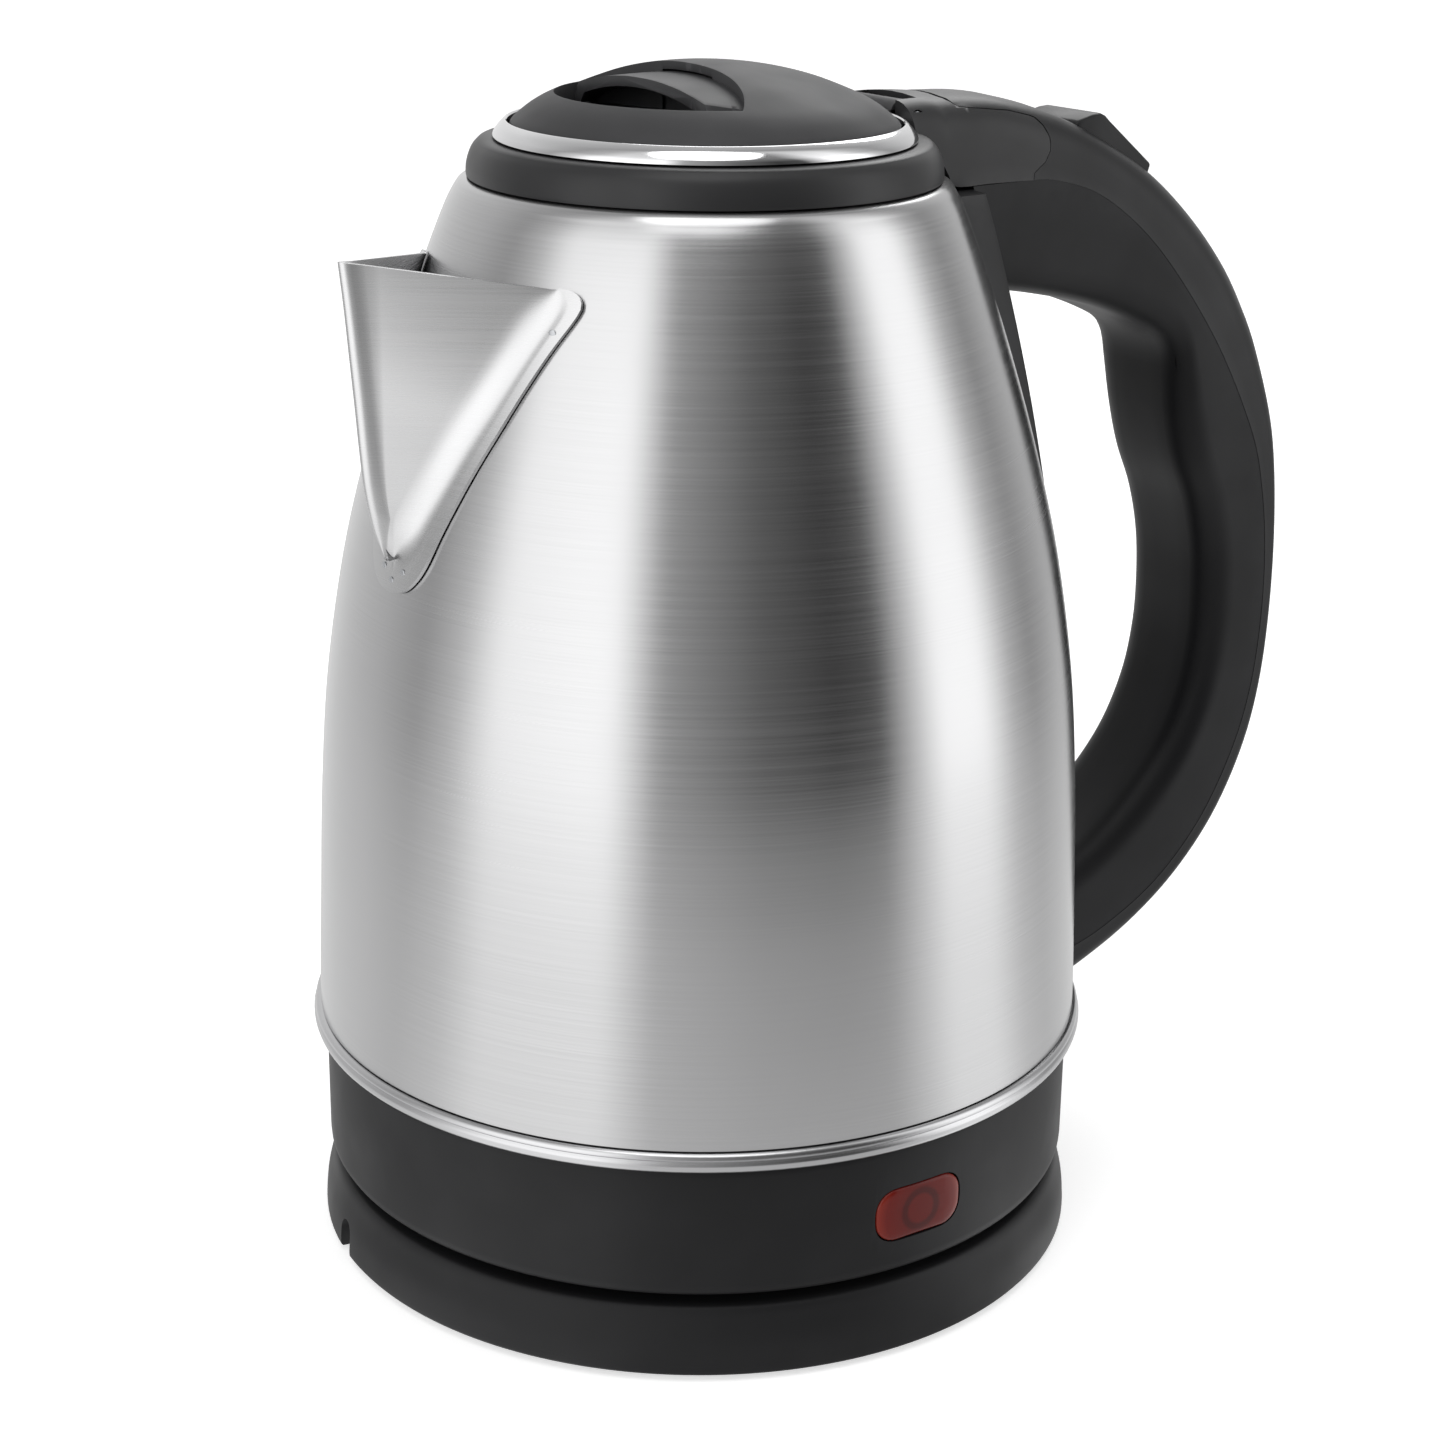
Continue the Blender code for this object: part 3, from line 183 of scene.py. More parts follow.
# %% Two soft lamps
LAMPS = [                        # name, place, aimed at, size, watts
    ("top_softbox", (-0.25, -0.35, 1.3), (0, 0, 0.12), 0.9, 3.2),
    ("back_softbox", (0.7, 0.6, 0.9), (0, 0, 0.15), 0.7, 3.0)]
for name, spot, target, size, watts in LAMPS:
    lamp = bpy.data.lights.new(name, "AREA")
    lamp.shape = "DISK"
    lamp.size = size
    lamp.energy = watts
    holder = bpy.data.objects.new(name, lamp)
    bpy.context.scene.collection.objects.link(holder)
    holder.location = spot
    aim = Vector(target) - Vector(spot)
    holder.rotation_euler = aim.to_track_quat("-Z", "Y").to_euler()
print("lamps:", len(LAMPS))

# %% [markdown]
# ## Patterns that several finishes share
# Moulded plastic has a fine spark-eroded grain, brushed steel has fine lines along the way
# it was ground, and everything that is handled has faint smears that change its gloss. Each
# of these is a node group, built once and placed in the materials with other values.


# %% Shader groups
def start_group(name, inputs, outputs):
    """An empty shader group with float inputs (name, default) and float outputs."""
    tree = bpy.data.node_groups.new(name, "ShaderNodeTree")
    for title, default in inputs:
        socket = tree.interface.new_socket(title, in_out="INPUT", socket_type="NodeSocketFloat")
        socket.default_value = default
    for title in outputs:
        tree.interface.new_socket(title, in_out="OUTPUT", socket_type="NodeSocketFloat")
    return tree, tree.nodes.new("NodeGroupInput"), tree.nodes.new("NodeGroupOutput")


def object_coords(tree):
    return tree.nodes.new("ShaderNodeTexCoord").outputs["Object"]


def noise(tree, vector, scale, detail=2.0):
    made = node(tree, "ShaderNodeTexNoise", Detail=detail)
    tree.links.new(vector, made.inputs["Vector"])
    if isinstance(scale, (int, float)):
        made.inputs["Scale"].default_value = scale
    else:
        tree.links.new(scale, made.inputs["Scale"])
    return made.outputs["Fac"]


def make_grain_group():
    """Moulding grain: small soft pits on finer dust."""
    tree, given, result = start_group("moulding_grain", [("Scale", 2600.0)], ["Grain"])
    coords = object_coords(tree)
    coarse = noise(tree, coords, given.outputs["Scale"], 1.0)
    finer = math_node(tree, "MULTIPLY", given.outputs["Scale"], 2.7)
    fine = noise(tree, coords, finer, 0.0)
    both = math_node(tree, "MULTIPLY_ADD", fine, 0.4, math_node(tree, "MULTIPLY", coarse, 0.6))
    tree.links.new(both, result.inputs["Grain"])
    return tree


def make_lines_group():
    """Brushed lines that run level round the piece."""
    tree, given, result = start_group("brushed_lines", [("Across", 5200.0), ("Along", 26.0)],
                                      ["Lines", "Clouds"])
    scale = tree.nodes.new("ShaderNodeCombineXYZ")
    for axis in ("X", "Y"):
        tree.links.new(given.outputs["Along"], scale.inputs[axis])
    tree.links.new(given.outputs["Across"], scale.inputs["Z"])
    stretched = tree.nodes.new("ShaderNodeVectorMath")
    stretched.operation = "MULTIPLY"
    tree.links.new(object_coords(tree), stretched.inputs[0])
    tree.links.new(scale.outputs[0], stretched.inputs[1])
    tree.links.new(noise(tree, stretched.outputs[0], 1.0, 2.0), result.inputs["Lines"])
    tree.links.new(noise(tree, object_coords(tree), 38.0, 2.0), result.inputs["Clouds"])
    return tree


def make_smear_group():
    """Handling marks: broad smears broken by finer ones."""
    tree, given, result = start_group("handling_marks", [("Scale", 45.0)], ["Smears"])
    coords = object_coords(tree)
    broad = noise(tree, coords, given.outputs["Scale"], 3.0)
    sharp = node(tree, "ShaderNodeMapRange", From_Min=0.38, From_Max=0.66)
    tree.links.new(broad, sharp.inputs["Value"])
    tree.links.new(sharp.outputs[0], result.inputs["Smears"])
    return tree


def make_wear_group():
    """Edge wear: the outward edges that hands polish."""
    tree, given, result = start_group("edge_wear", [("Start", 0.53), ("End", 0.62)], ["Wear"])
    bent = tree.nodes.new("ShaderNodeNewGeometry").outputs["Pointiness"]
    spread = tree.nodes.new("ShaderNodeMapRange")
    tree.links.new(bent, spread.inputs["Value"])
    tree.links.new(given.outputs["Start"], spread.inputs["From Min"])
    tree.links.new(given.outputs["End"], spread.inputs["From Max"])
    broken = math_node(tree, "MULTIPLY", spread.outputs[0], noise(tree, object_coords(tree), 300.0))
    tree.links.new(broken, result.inputs["Wear"])
    return tree


GRAIN = make_grain_group()
LINES = make_lines_group()
SMEARS = make_smear_group()
WEAR = make_wear_group()
print("groups:", [g.name for g in bpy.data.node_groups])

# %% [markdown]
# ## The finishes
# Two recipes cover nearly everything. Plastic is a dark colour that smears lighten, with
# grain in its surface. Metal takes its colour and gloss from the brushed lines, and is
# stretched along the grinding direction with the shader's anisotropy, so that a lamp is
# drawn out into an upright band.


# %% Two recipes
def start_material(name):
    made = bpy.data.materials.new(name)
    made.use_nodes = True
    return made, made.node_tree, made.node_tree.nodes["Principled BSDF"]


def group(tree, source, **values):
    placed = tree.nodes.new("ShaderNodeGroup")
    placed.node_tree = source
    for key, value in values.items():
        placed.inputs[key].default_value = value
    return placed


def blend_colours(tree, factor, low, high):
    made = tree.nodes.new("ShaderNodeMix")
    made.data_type = "RGBA"
    tree.links.new(factor, made.inputs["Factor"])
    for key, colour in (("A", low), ("B", high)):
        if hasattr(colour, "links"):
            tree.links.new(colour, made.inputs[key])
        else:
            made.inputs[key].default_value = (*colour, 1.0)
    return made.outputs["Result"]


def spread_value(tree, value, low, high):
    made = node(tree, "ShaderNodeMapRange", To_Min=low, To_Max=high)
    tree.links.new(value, made.inputs["Value"])
    return made.outputs[0]


def bump(tree, height, distance, strength=1.0):
    made = node(tree, "ShaderNodeBump", Strength=strength, Distance=distance)
    tree.links.new(height, made.inputs["Height"])
    return made.outputs["Normal"]


def plastic(name, colour, roughness, grain=2600.0, depth=0.00001, lift=1.25, shine=0.25):
    """Moulded plastic: lift is how much paler the handled parts are, shine its mirror share."""
    made, tree, shader = start_material(name)
    smears = group(tree, SMEARS, Scale=45.0).outputs["Smears"]
    wear = group(tree, WEAR).outputs["Wear"]
    paler = [min(c * lift, 1.0) for c in colour]
    worn = [min(c * 1.9 + 0.01, 1.0) for c in colour]
    base = blend_colours(tree, wear, blend_colours(tree, smears, colour, paler), worn)
    tree.links.new(base, shader.inputs["Base Color"])
    tree.links.new(spread_value(tree, smears, roughness, roughness - 0.07),
                   shader.inputs["Roughness"])
    pits = group(tree, GRAIN, Scale=grain).outputs["Grain"]
    tree.links.new(bump(tree, pits, depth), shader.inputs["Normal"])
    shader.inputs["Specular IOR Level"].default_value = shine
    return made


def metal(name, colour, low, high, across=5200.0, along=26.0, depth=0.0000015, stretch=0.0):
    """Ground or rolled metal: low and high are the gloss limits of its lines."""
    made, tree, shader = start_material(name)
    lines = group(tree, LINES, Across=across, Along=along)
    smears = group(tree, SMEARS, Scale=22.0).outputs["Smears"]
    dull = [c * 0.84 for c in colour]
    shade = blend_colours(tree, lines.outputs["Lines"], dull, colour)
    cloudy = [c * 0.95 for c in colour]
    tree.links.new(blend_colours(tree, spread_value(tree, lines.outputs["Clouds"], 0.0, 0.5),
                                 shade, cloudy), shader.inputs["Base Color"])
    gloss = math_node(tree, "MULTIPLY_ADD", smears, 0.04,
                      spread_value(tree, lines.outputs["Lines"], low, high))
    tree.links.new(gloss, shader.inputs["Roughness"])
    tree.links.new(bump(tree, lines.outputs["Lines"], depth), shader.inputs["Normal"])
    shader.inputs["Metallic"].default_value = 1.0
    if stretch:
        shader.inputs["Anisotropic"].default_value = stretch
        shader.inputs["Anisotropic Rotation"].default_value = 0.25
        round_z = tree.nodes.new("ShaderNodeTangent")
        round_z.direction_type = "RADIAL"
        round_z.axis = "Z"
        tree.links.new(round_z.outputs[0], shader.inputs["Tangent"])
    return made


# %% The finishes themselves
finish = {
    "base_black": plastic("base_black", (0.013, 0.013, 0.014), 0.50),
    "collar_black": plastic("collar_black", (0.024, 0.024, 0.025), 0.42, grain=3200, shine=0.35),
    "grip_black": plastic("grip_black", (0.007, 0.007, 0.008), 0.48),
    "cover_satin": plastic("cover_satin", (0.018, 0.018, 0.019), 0.40, grain=3200),
    "lid_charcoal": plastic("lid_charcoal", (0.044, 0.044, 0.046), 0.55, depth=0.000014, shine=0.3),
    "pull_charcoal": plastic("pull_charcoal", (0.044, 0.044, 0.046), 0.50),
    "rocker_black": plastic("rocker_black", (0.015, 0.015, 0.016), 0.42),
    "grey_nylon": plastic("grey_nylon", (0.22, 0.22, 0.23), 0.45, lift=1.1, shine=0.5),
    "control_ivory": plastic("control_ivory", (0.62, 0.58, 0.49), 0.42, lift=1.05),
    "seal_rubber": plastic("seal_rubber", (0.030, 0.030, 0.030), 0.80, grain=900),
    "brushed_steel": metal("brushed_steel", (0.64, 0.64, 0.645), 0.14, 0.28, across=3600, along=14,
                           depth=0.000003, stretch=0.6),
    "pressed_steel": metal("pressed_steel", (0.70, 0.70, 0.705), 0.19, 0.30, stretch=0.4),
    "rolled_steel": metal("rolled_steel", (0.66, 0.66, 0.67), 0.16, 0.26, across=900, along=60),
    "chrome_trim": metal("chrome_trim", (0.88, 0.88, 0.89), 0.05, 0.09, across=500, depth=0.000001),
    "aluminium": metal("aluminium", (0.72, 0.73, 0.74), 0.36, 0.48, across=1200, along=900),
    "brass_contact": metal("brass_contact", (0.78, 0.58, 0.26), 0.20, 0.32, across=1500),
    "zinc_steel": metal("zinc_steel", (0.58, 0.59, 0.61), 0.30, 0.42, across=1800, along=400),
    "wire_sleeve": plastic("wire_sleeve", (0.06, 0.09, 0.35), 0.35, lift=1.1),
}
print("finishes:", len(finish))

# %% [markdown]
# The indicator's lens is clear red plastic over a dark hole, with a moulded ring in its
# middle. Real glass with a lamp behind would need many samples to come out clean, so the
# light and shade of the glass are painted into the colour by the distance from the lens's
# middle, under a clear coat: darker at the moulded ring, paler red towards the rim.

# %% Lens and lamp
LENS_R, LENS_Z, LENS_TURN = 75.5, 27.9, math.radians(-2.2)
lens_middle = Vector((LENS_R * math.sin(LENS_TURN), -LENS_R * math.cos(LENS_TURN), LENS_Z)) * MM


def make_lens_finish():
    made, tree, shader = start_material("red_lens")
    away = tree.nodes.new("ShaderNodeVectorMath")
    away.operation = "DISTANCE"
    tree.links.new(object_coords(tree), away.inputs[0])
    away.inputs[1].default_value = lens_middle
    reach = math_node(tree, "MULTIPLY", away.outputs["Value"], 100.0)
    cloud = noise(tree, object_coords(tree), 420.0)
    reach = math_node(tree, "MULTIPLY_ADD", cloud, 0.02, reach)
    # Painted light and shade of the glass: darker at the moulded ring, paler red towards the rim.
    painted_lens_shading = ramp(tree, reach, [
        (0.00, (0.135, 0.007, 0.004)), (0.28, (0.14, 0.007, 0.004)), (0.34, (0.075, 0.004, 0.003)),
        (0.42, (0.080, 0.004, 0.003)), (0.48, (0.14, 0.008, 0.005)), (0.80, (0.17, 0.011, 0.007)),
        (0.97, (0.27, 0.028, 0.016))])
    tree.links.new(painted_lens_shading, shader.inputs["Base Color"])
    tree.links.new(spread_value(tree, cloud, 0.16, 0.30), shader.inputs["Roughness"])
    tree.links.new(bump(tree, cloud, 0.00002, 0.5), shader.inputs["Normal"])
    shader.inputs["Specular IOR Level"].default_value = 0.25
    shader.inputs["Coat Weight"].default_value = 0.15
    shader.inputs["Coat Roughness"].default_value = 0.08
    return made


def make_lamp_finish():
    made, tree, shader = start_material("lamp_glass")
    cloud = noise(tree, object_coords(tree), 500.0)
    tree.links.new(blend_colours(tree, cloud, (0.85, 0.45, 0.25), (0.95, 0.62, 0.40)),
                   shader.inputs["Base Color"])
    tree.links.new(spread_value(tree, cloud, 0.05, 0.15), shader.inputs["Roughness"])
    return made


finish["red_lens"] = make_lens_finish()
finish["lamp_glass"] = make_lamp_finish()
print("lens middle", [round(c, 4) for c in lens_middle])

# %% [markdown]
# ## Tools for modelling
# Most of a kettle is turned: half an outline is spun round the upright axis. Outlines are
# given by a few measured points, and a smooth curve through them fills in the rest. A few
# helpers keep the later cells short: one turns an outline, one presses a flat shape to a
# thickness, and one settles the modifiers and sends the piece to its body.


# %% Lines
def smooth_line(points, per_span=6):
    """Points on a smooth curve that passes through the given ones."""
    vectors = [Vector(p) for p in points]
    out = []
    for i in range(len(vectors) - 1):
        before, a, b = vectors[max(i - 1, 0)], vectors[i], vectors[i + 1]
        after = vectors[min(i + 2, len(vectors) - 1)]
        for k in range(per_span):
            t = k / per_span
            out.append(0.5 * (2 * a + (b - before) * t + (2 * before - 5 * a + 4 * b - after) * t * t
                              + (3 * a - before - 3 * b + after) * t ** 3))
    out.append(vectors[-1])
    return out


def evenly(points, count):
    """A line read again at equal steps of its length."""
    vectors = [Vector(p) for p in points]
    lengths = [0.0]
    for a, b in zip(vectors, vectors[1:]):
        lengths.append(lengths[-1] + (b - a).length)
    return [along(vectors, lengths, lengths[-1] * i / (count - 1)) for i in range(count)]


def along(vectors, lengths, reach):
    """The point at a reach along a line whose running lengths are given."""
    last = len(vectors) - 2
    i = next((k for k in range(last) if reach <= lengths[k + 1]), last)
    step = lengths[i + 1] - lengths[i]
    return vectors[i].lerp(vectors[i + 1], (reach - lengths[i]) / step if step else 0.0)


def rounded(points, radius, steps=4):
    """A closed outline whose corners are rounded; radius is a number or one for each corner."""
    out = []
    for i, corner in enumerate(points):
        r = radius[i] if isinstance(radius, (list, tuple)) else radius
        here = Vector(corner)
        to_last = Vector(points[i - 1]) - here
        to_next = Vector(points[(i + 1) % len(points)]) - here
        reach = min(r, to_last.length * 0.48, to_next.length * 0.48)
        if reach <= 0:
            out.append(here)
            continue
        a = here + to_last.normalized() * reach
        b = here + to_next.normalized() * reach
        for k in range(steps + 1):
            t = k / steps
            out.append(a * (1 - t) ** 2 + here * 2 * t * (1 - t) + b * t * t)
    return out


# %% Pieces
def mesh_from(name, build):
    """A mesh that build(bm) fills: merged, closed faces pointing outwards, soft shading."""
    bm = bmesh.new()
    build(bm)
    bmesh.ops.remove_doubles(bm, verts=bm.verts, dist=0.000002)
    bmesh.ops.recalc_face_normals(bm, faces=bm.faces)
    for face in bm.faces:
        face.smooth = True
    mesh = bpy.data.meshes.new(name)
    bm.to_mesh(mesh)
    bm.free()
    return mesh


def solid(name, build):
    obj = bpy.data.objects.new(name, mesh_from(name, build))
    bpy.context.scene.collection.objects.link(obj)
    return obj


def spin_outline(bm, outline, steps=128, centre=(0, 0), closed=True):
    """Turns an outline of (radius, height) in mm round an upright axis."""
    ring = [bm.verts.new((centre[0] * MM + r * MM, centre[1] * MM, z * MM)) for r, z in outline]
    pairs = list(zip(ring, ring[1:])) + ([(ring[-1], ring[0])] if closed else [])
    edges = [bm.edges.new(pair) for pair in pairs]
    bmesh.ops.spin(bm, geom=ring + edges, axis=(0, 0, 1), cent=(centre[0] * MM, centre[1] * MM, 0),
                   dvec=(0, 0, 0), angle=2 * math.pi, steps=steps, use_merge=True)


def turned(name, outline, steps=128, centre=(0, 0), closed=True):
    return solid(name, lambda bm: spin_outline(bm, outline, steps, centre, closed))


def settle(obj):
    """Applies the modifiers, so that the piece is plain mesh."""
    bpy.context.view_layer.update()
    seen = obj.evaluated_get(bpy.context.evaluated_depsgraph_get())
    mesh = bpy.data.meshes.new_from_object(seen)
    obj.modifiers.clear()
    obj.data = mesh
    return obj


def carve(obj, cutters, operation="DIFFERENCE"):
    """Cuts, joins or keeps with other solids, which are used up."""
    for other in cutters:
        step = obj.modifiers.new("carve", "BOOLEAN")
        step.operation = operation
        step.solver = "EXACT"
        step.object = other
    settle(obj)
    for other in cutters:
        bpy.data.objects.remove(other, do_unlink=True)
    return obj


def soften(obj, width, segments=3, angle=40):
    """Rounds the edges that are sharper than an angle."""
    step = obj.modifiers.new("soften", "BEVEL")
    step.width = width * MM
    step.segments = segments
    step.limit_method = "ANGLE"
    step.angle_limit = math.radians(angle)
    return settle(obj)


def deliver(obj, body, material, slot, *replaced, sharp=38):
    """Gives a piece its finish, sends it to its body and hides the frame's pieces that it replaces."""
    obj.data.materials.clear()
    obj.data.materials.append(finish[material])
    for face in obj.data.polygons:
        face.use_smooth = True
    obj.data.set_sharp_from_angle(angle=math.radians(sharp))
    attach(obj, body)
    if replaced:
        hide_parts(*replaced)
    print(obj.name, "on", body, "-", len(obj.data.polygons), "faces")
    return obj


def box_solid(name, low, high):
    def build(bm):
        bmesh.ops.create_cube(bm, size=1.0)
        size = [(b - a) * MM for a, b in zip(low, high)]
        bmesh.ops.scale(bm, vec=size, verts=bm.verts)
        middle = [(a + b) / 2 * MM for a, b in zip(low, high)]
        bmesh.ops.translate(bm, vec=middle, verts=bm.verts)
    return solid(name, build)


def rod_solid(name, start, end, radius, sides=48):
    a, b = Vector(start) * MM, Vector(end) * MM

    def build(bm):
        bmesh.ops.create_cone(bm, cap_ends=True, segments=sides, radius1=radius * MM,
                              radius2=radius * MM, depth=(b - a).length)
        turn_to = Vector((0, 0, 1)).rotation_difference(b - a).to_matrix()
        bmesh.ops.rotate(bm, cent=(0, 0, 0), matrix=turn_to, verts=bm.verts)
        bmesh.ops.translate(bm, vec=(a + b) / 2, verts=bm.verts)
    return solid(name, build)


def press(bm, corners, way):
    """A flat face through corners in mm, made solid by an extrusion along a way."""
    face = bm.faces.new([bm.verts.new((x * MM, y * MM, z * MM)) for x, y, z in corners])
    pressed = bmesh.ops.extrude_face_region(bm, geom=[face])
    moved = [v for v in pressed["geom"] if isinstance(v, bmesh.types.BMVert)]
    bmesh.ops.translate(bm, vec=way, verts=moved)


def side_plate(name, outline, half, bevel=0.0):
    """A side view outline of (x, z), given its thickness along Y."""
    corners = [(x, -half, z) for x, z in outline]
    obj = solid(name, lambda bm: press(bm, corners, (0, 2 * half * MM, 0)))
    return soften(obj, bevel) if bevel else obj


def plan_plate(name, outline, low, high):
    """A plan outline of (x, y) that reaches from one height to another."""
    corners = [(x, y, high) for x, y in outline]
    return solid(name, lambda bm: press(bm, corners, (0, 0, (low - high) * MM)))


def next_ring(bm, ring):
    """Extrudes a closed ring of points once and gives the new ring in the same order."""
    edges = [bm.edges.get((a, b)) for a, b in zip(ring, ring[1:] + ring[:1])]
    made = bmesh.ops.extrude_edge_only(bm, edges=edges)["geom"]
    fresh = {v for v in made if isinstance(v, bmesh.types.BMVert)}
    return [next(e.other_vert(v) for e in v.link_edges if e.other_vert(v) in fresh) for v in ring]


def sweep(bm, sections):
    """A solid bar through cross sections that all have the same count of points."""
    first = ring = [bm.verts.new(p) for p in sections[0]]
    for a, b in zip(ring, ring[1:] + ring[:1]):
        bm.edges.new((a, b))
    for section in sections[1:]:
        ring = next_ring(bm, ring)
        for v, spot in zip(ring, section):
            v.co = spot
    bm.faces.new(first)
    bm.faces.new(ring)


print("modelling helpers ready")

# %% [markdown]
# ## The power base
# The base is a shallow moulded dish, upside down: a slightly sloping side with a soft upper
# edge, a ring on the deck that the kettle stands on, and a well in the middle for the
# connector. It is one outline, spun once. The cord's notch is cut through the lower edge.

# %% Base shell
BASE_R, BASE_H, DECK_R = 76.9, 13.4, 74.6
WELL_R, RIDGE_R = 19.5, 53.0
base_side = smooth_line([
    (DECK_R - 1.8, BASE_H), (DECK_R - 0.5, BASE_H - 0.3), (DECK_R + 0.2, BASE_H - 1.2),
    (DECK_R + 0.8, BASE_H - 3.4), (BASE_R - 0.5, 6.0), (BASE_R - 0.1, 2.0), (BASE_R - 0.1, 0.5)], 5)
deck_ring = [(RIDGE_R - 2.8, BASE_H), (RIDGE_R - 2.1, BASE_H + 0.5), (RIDGE_R - 1.7, BASE_H + 1.7),
             (RIDGE_R - 1.2, BASE_H + 2.1), (RIDGE_R + 1.2, BASE_H + 2.1),
             (RIDGE_R + 1.7, BASE_H + 1.7), (RIDGE_R + 2.1, BASE_H + 0.5), (RIDGE_R + 2.8, BASE_H)]
base_outline = [(WELL_R, BASE_H - 0.5), (WELL_R + 0.5, BASE_H)] + deck_ring
base_outline += [tuple(p) for p in base_side] + [
    (BASE_R - 0.5, 0.0), (BASE_R - 2.0, 0.0), (BASE_R - 2.5, 6.2), (DECK_R - 1.9, BASE_H - 2.0),
    (WELL_R, BASE_H - 2.0)]
NOTCH_AT = math.radians(180 - 11.6)
NOTCH_W, NOTCH_H = 5.4, 7.0


def notch_cutter():
    half = NOTCH_W / 2
    arch = [(half * math.cos(a), NOTCH_H - half + half * math.sin(a))
            for a in (math.pi * k / 12 for k in range(13))]
    obj = side_plate("notch", [(half, -2)] + arch + [(-half, -2)], 7)
    spot = Vector((BASE_R * math.cos(NOTCH_AT), BASE_R * math.sin(NOTCH_AT), 0)) * MM
    obj.data.transform(Matrix.Translation(spot) @ Matrix.Rotation(NOTCH_AT + math.pi / 2, 4, "Z"))
    return obj


base_shell = carve(turned("base_shell_fine", base_outline, 192), [notch_cutter()])
deliver(base_shell, "power_base", "base_black", "base_black", "base_shell")

# %% Feet
FOOT_PLACE, FOOT_R = 60, 6.0
foot_outline = [(0, 0.5), (FOOT_R, 0.5), (FOOT_R, -0.6), (FOOT_R - 0.3, -1.0), (FOOT_R - 0.8, -1.2),
                (FOOT_R - 2.8, -1.2), (FOOT_R - 3.1, -0.9), (0, -0.9)]
for number in range(3):
    way = math.radians(120 * number)
    spot = (FOOT_PLACE * math.cos(way), FOOT_PLACE * math.sin(way))
    foot = turned("foot_%d" % (number + 1), foot_outline, 48, spot, closed=False)
    deliver(foot, "power_base", "seal_rubber", "seal_rubber", "base_foot_%d" % (number + 1))

# %% [markdown]
# ## The coupler
# The round connector lets the kettle sit at any turn: two contact rings and an earth pin
# stand inside a wall, and a spring-loaded shutter ring closes the gap round it. These show
# when the kettle is lifted off.

# %% Plug, rings, pin and shutter
plug = turned("coupler_plug_fine", [
    (2.3, 15.0), (12.4, 15.0), (12.4, 27.0), (12.8, 27.6), (13.4, 27.6), (13.9, 27.0), (13.9, 4.5),
    (20.5, 4.5), (20.5, 2.5), (2.3, 2.5)], 96)
deliver(plug, "power_base", "base_black", "base_black", "coupler_plug")
for name, radius in (("coupler_live_ring", 11.6), ("coupler_neutral_ring", 7.2)):
    band = turned(name + "_fine", [(radius - 0.8, 23.3), (radius - 0.55, 23.6), (radius - 0.25, 23.6),
                                   (radius, 23.3), (radius, 15.3), (radius - 0.8, 15.3)], 96)
    deliver(band, "power_base", "brass_contact", "brass_contact", name)
pin = turned("earth_pin_fine", [(0, 27.6), (1.0, 27.4), (1.7, 26.8), (2.0, 26.0), (2.0, 3.1), (0, 3.1)],
             40, closed=False)
deliver(pin, "power_base", "brass_contact", "brass_contact", "coupler_earth_pin")
shutter = turned("coupler_shutter_fine", [(14.4, 15.2), (14.7, 15.6), (18.4, 15.6), (19.0, 15.0),
                                          (19.0, 12.4), (14.4, 12.4)], 96)
deliver(shutter, "coupler_shutter", "grey_nylon", "grey_nylon", "coupler_shutter")

# %% [markdown]
# ## The skirt and its lens
# The dark ring under the steel body is a plain turned wall. Its window is cut with a rounded
# bar, and the lens that fills the window is a flat rounded face that is raised in a few
# insets and then bent round the skirt.

# %% Skirt
SKIRT_R, SKIRT_LOW, SKIRT_TOP = 75.5, 15.8, 42.2
WINDOW_W, WINDOW_H, WINDOW_R = 19.5, 10.5, 4.3


def window_cutter(grow):
    corner = WINDOW_R + grow
    w, h = WINDOW_W / 2 + grow, WINDOW_H / 2 + grow
    outline = rounded([(-w, -h), (w, -h), (w, h), (-w, h)], corner * 1.45, 8)
    obj = side_plate("window", [(x, z + LENS_Z) for x, z in outline], 6)
    spot = Vector((lens_middle.x, lens_middle.y, 0))
    obj.data.transform(Matrix.Translation(spot) @ Matrix.Rotation(LENS_TURN, 4, "Z"))
    return obj


skirt = turned("lower_skirt_fine", [
    (73.3, SKIRT_TOP), (SKIRT_R - 1.2, SKIRT_TOP), (SKIRT_R - 0.5, SKIRT_TOP - 0.2),
    (SKIRT_R - 0.1, SKIRT_TOP - 0.8), (SKIRT_R, SKIRT_TOP - 2), (SKIRT_R, SKIRT_LOW + 2.4),
    (SKIRT_R - 0.1, SKIRT_LOW + 1.2), (SKIRT_R - 0.6, SKIRT_LOW + 0.4), (SKIRT_R - 1.4, SKIRT_LOW),
    (73.3, SKIRT_LOW)], 192)
carve(skirt, [window_cutter(0.3)])
deliver(skirt, "kettle", "base_black", "base_black", "lower_skirt")


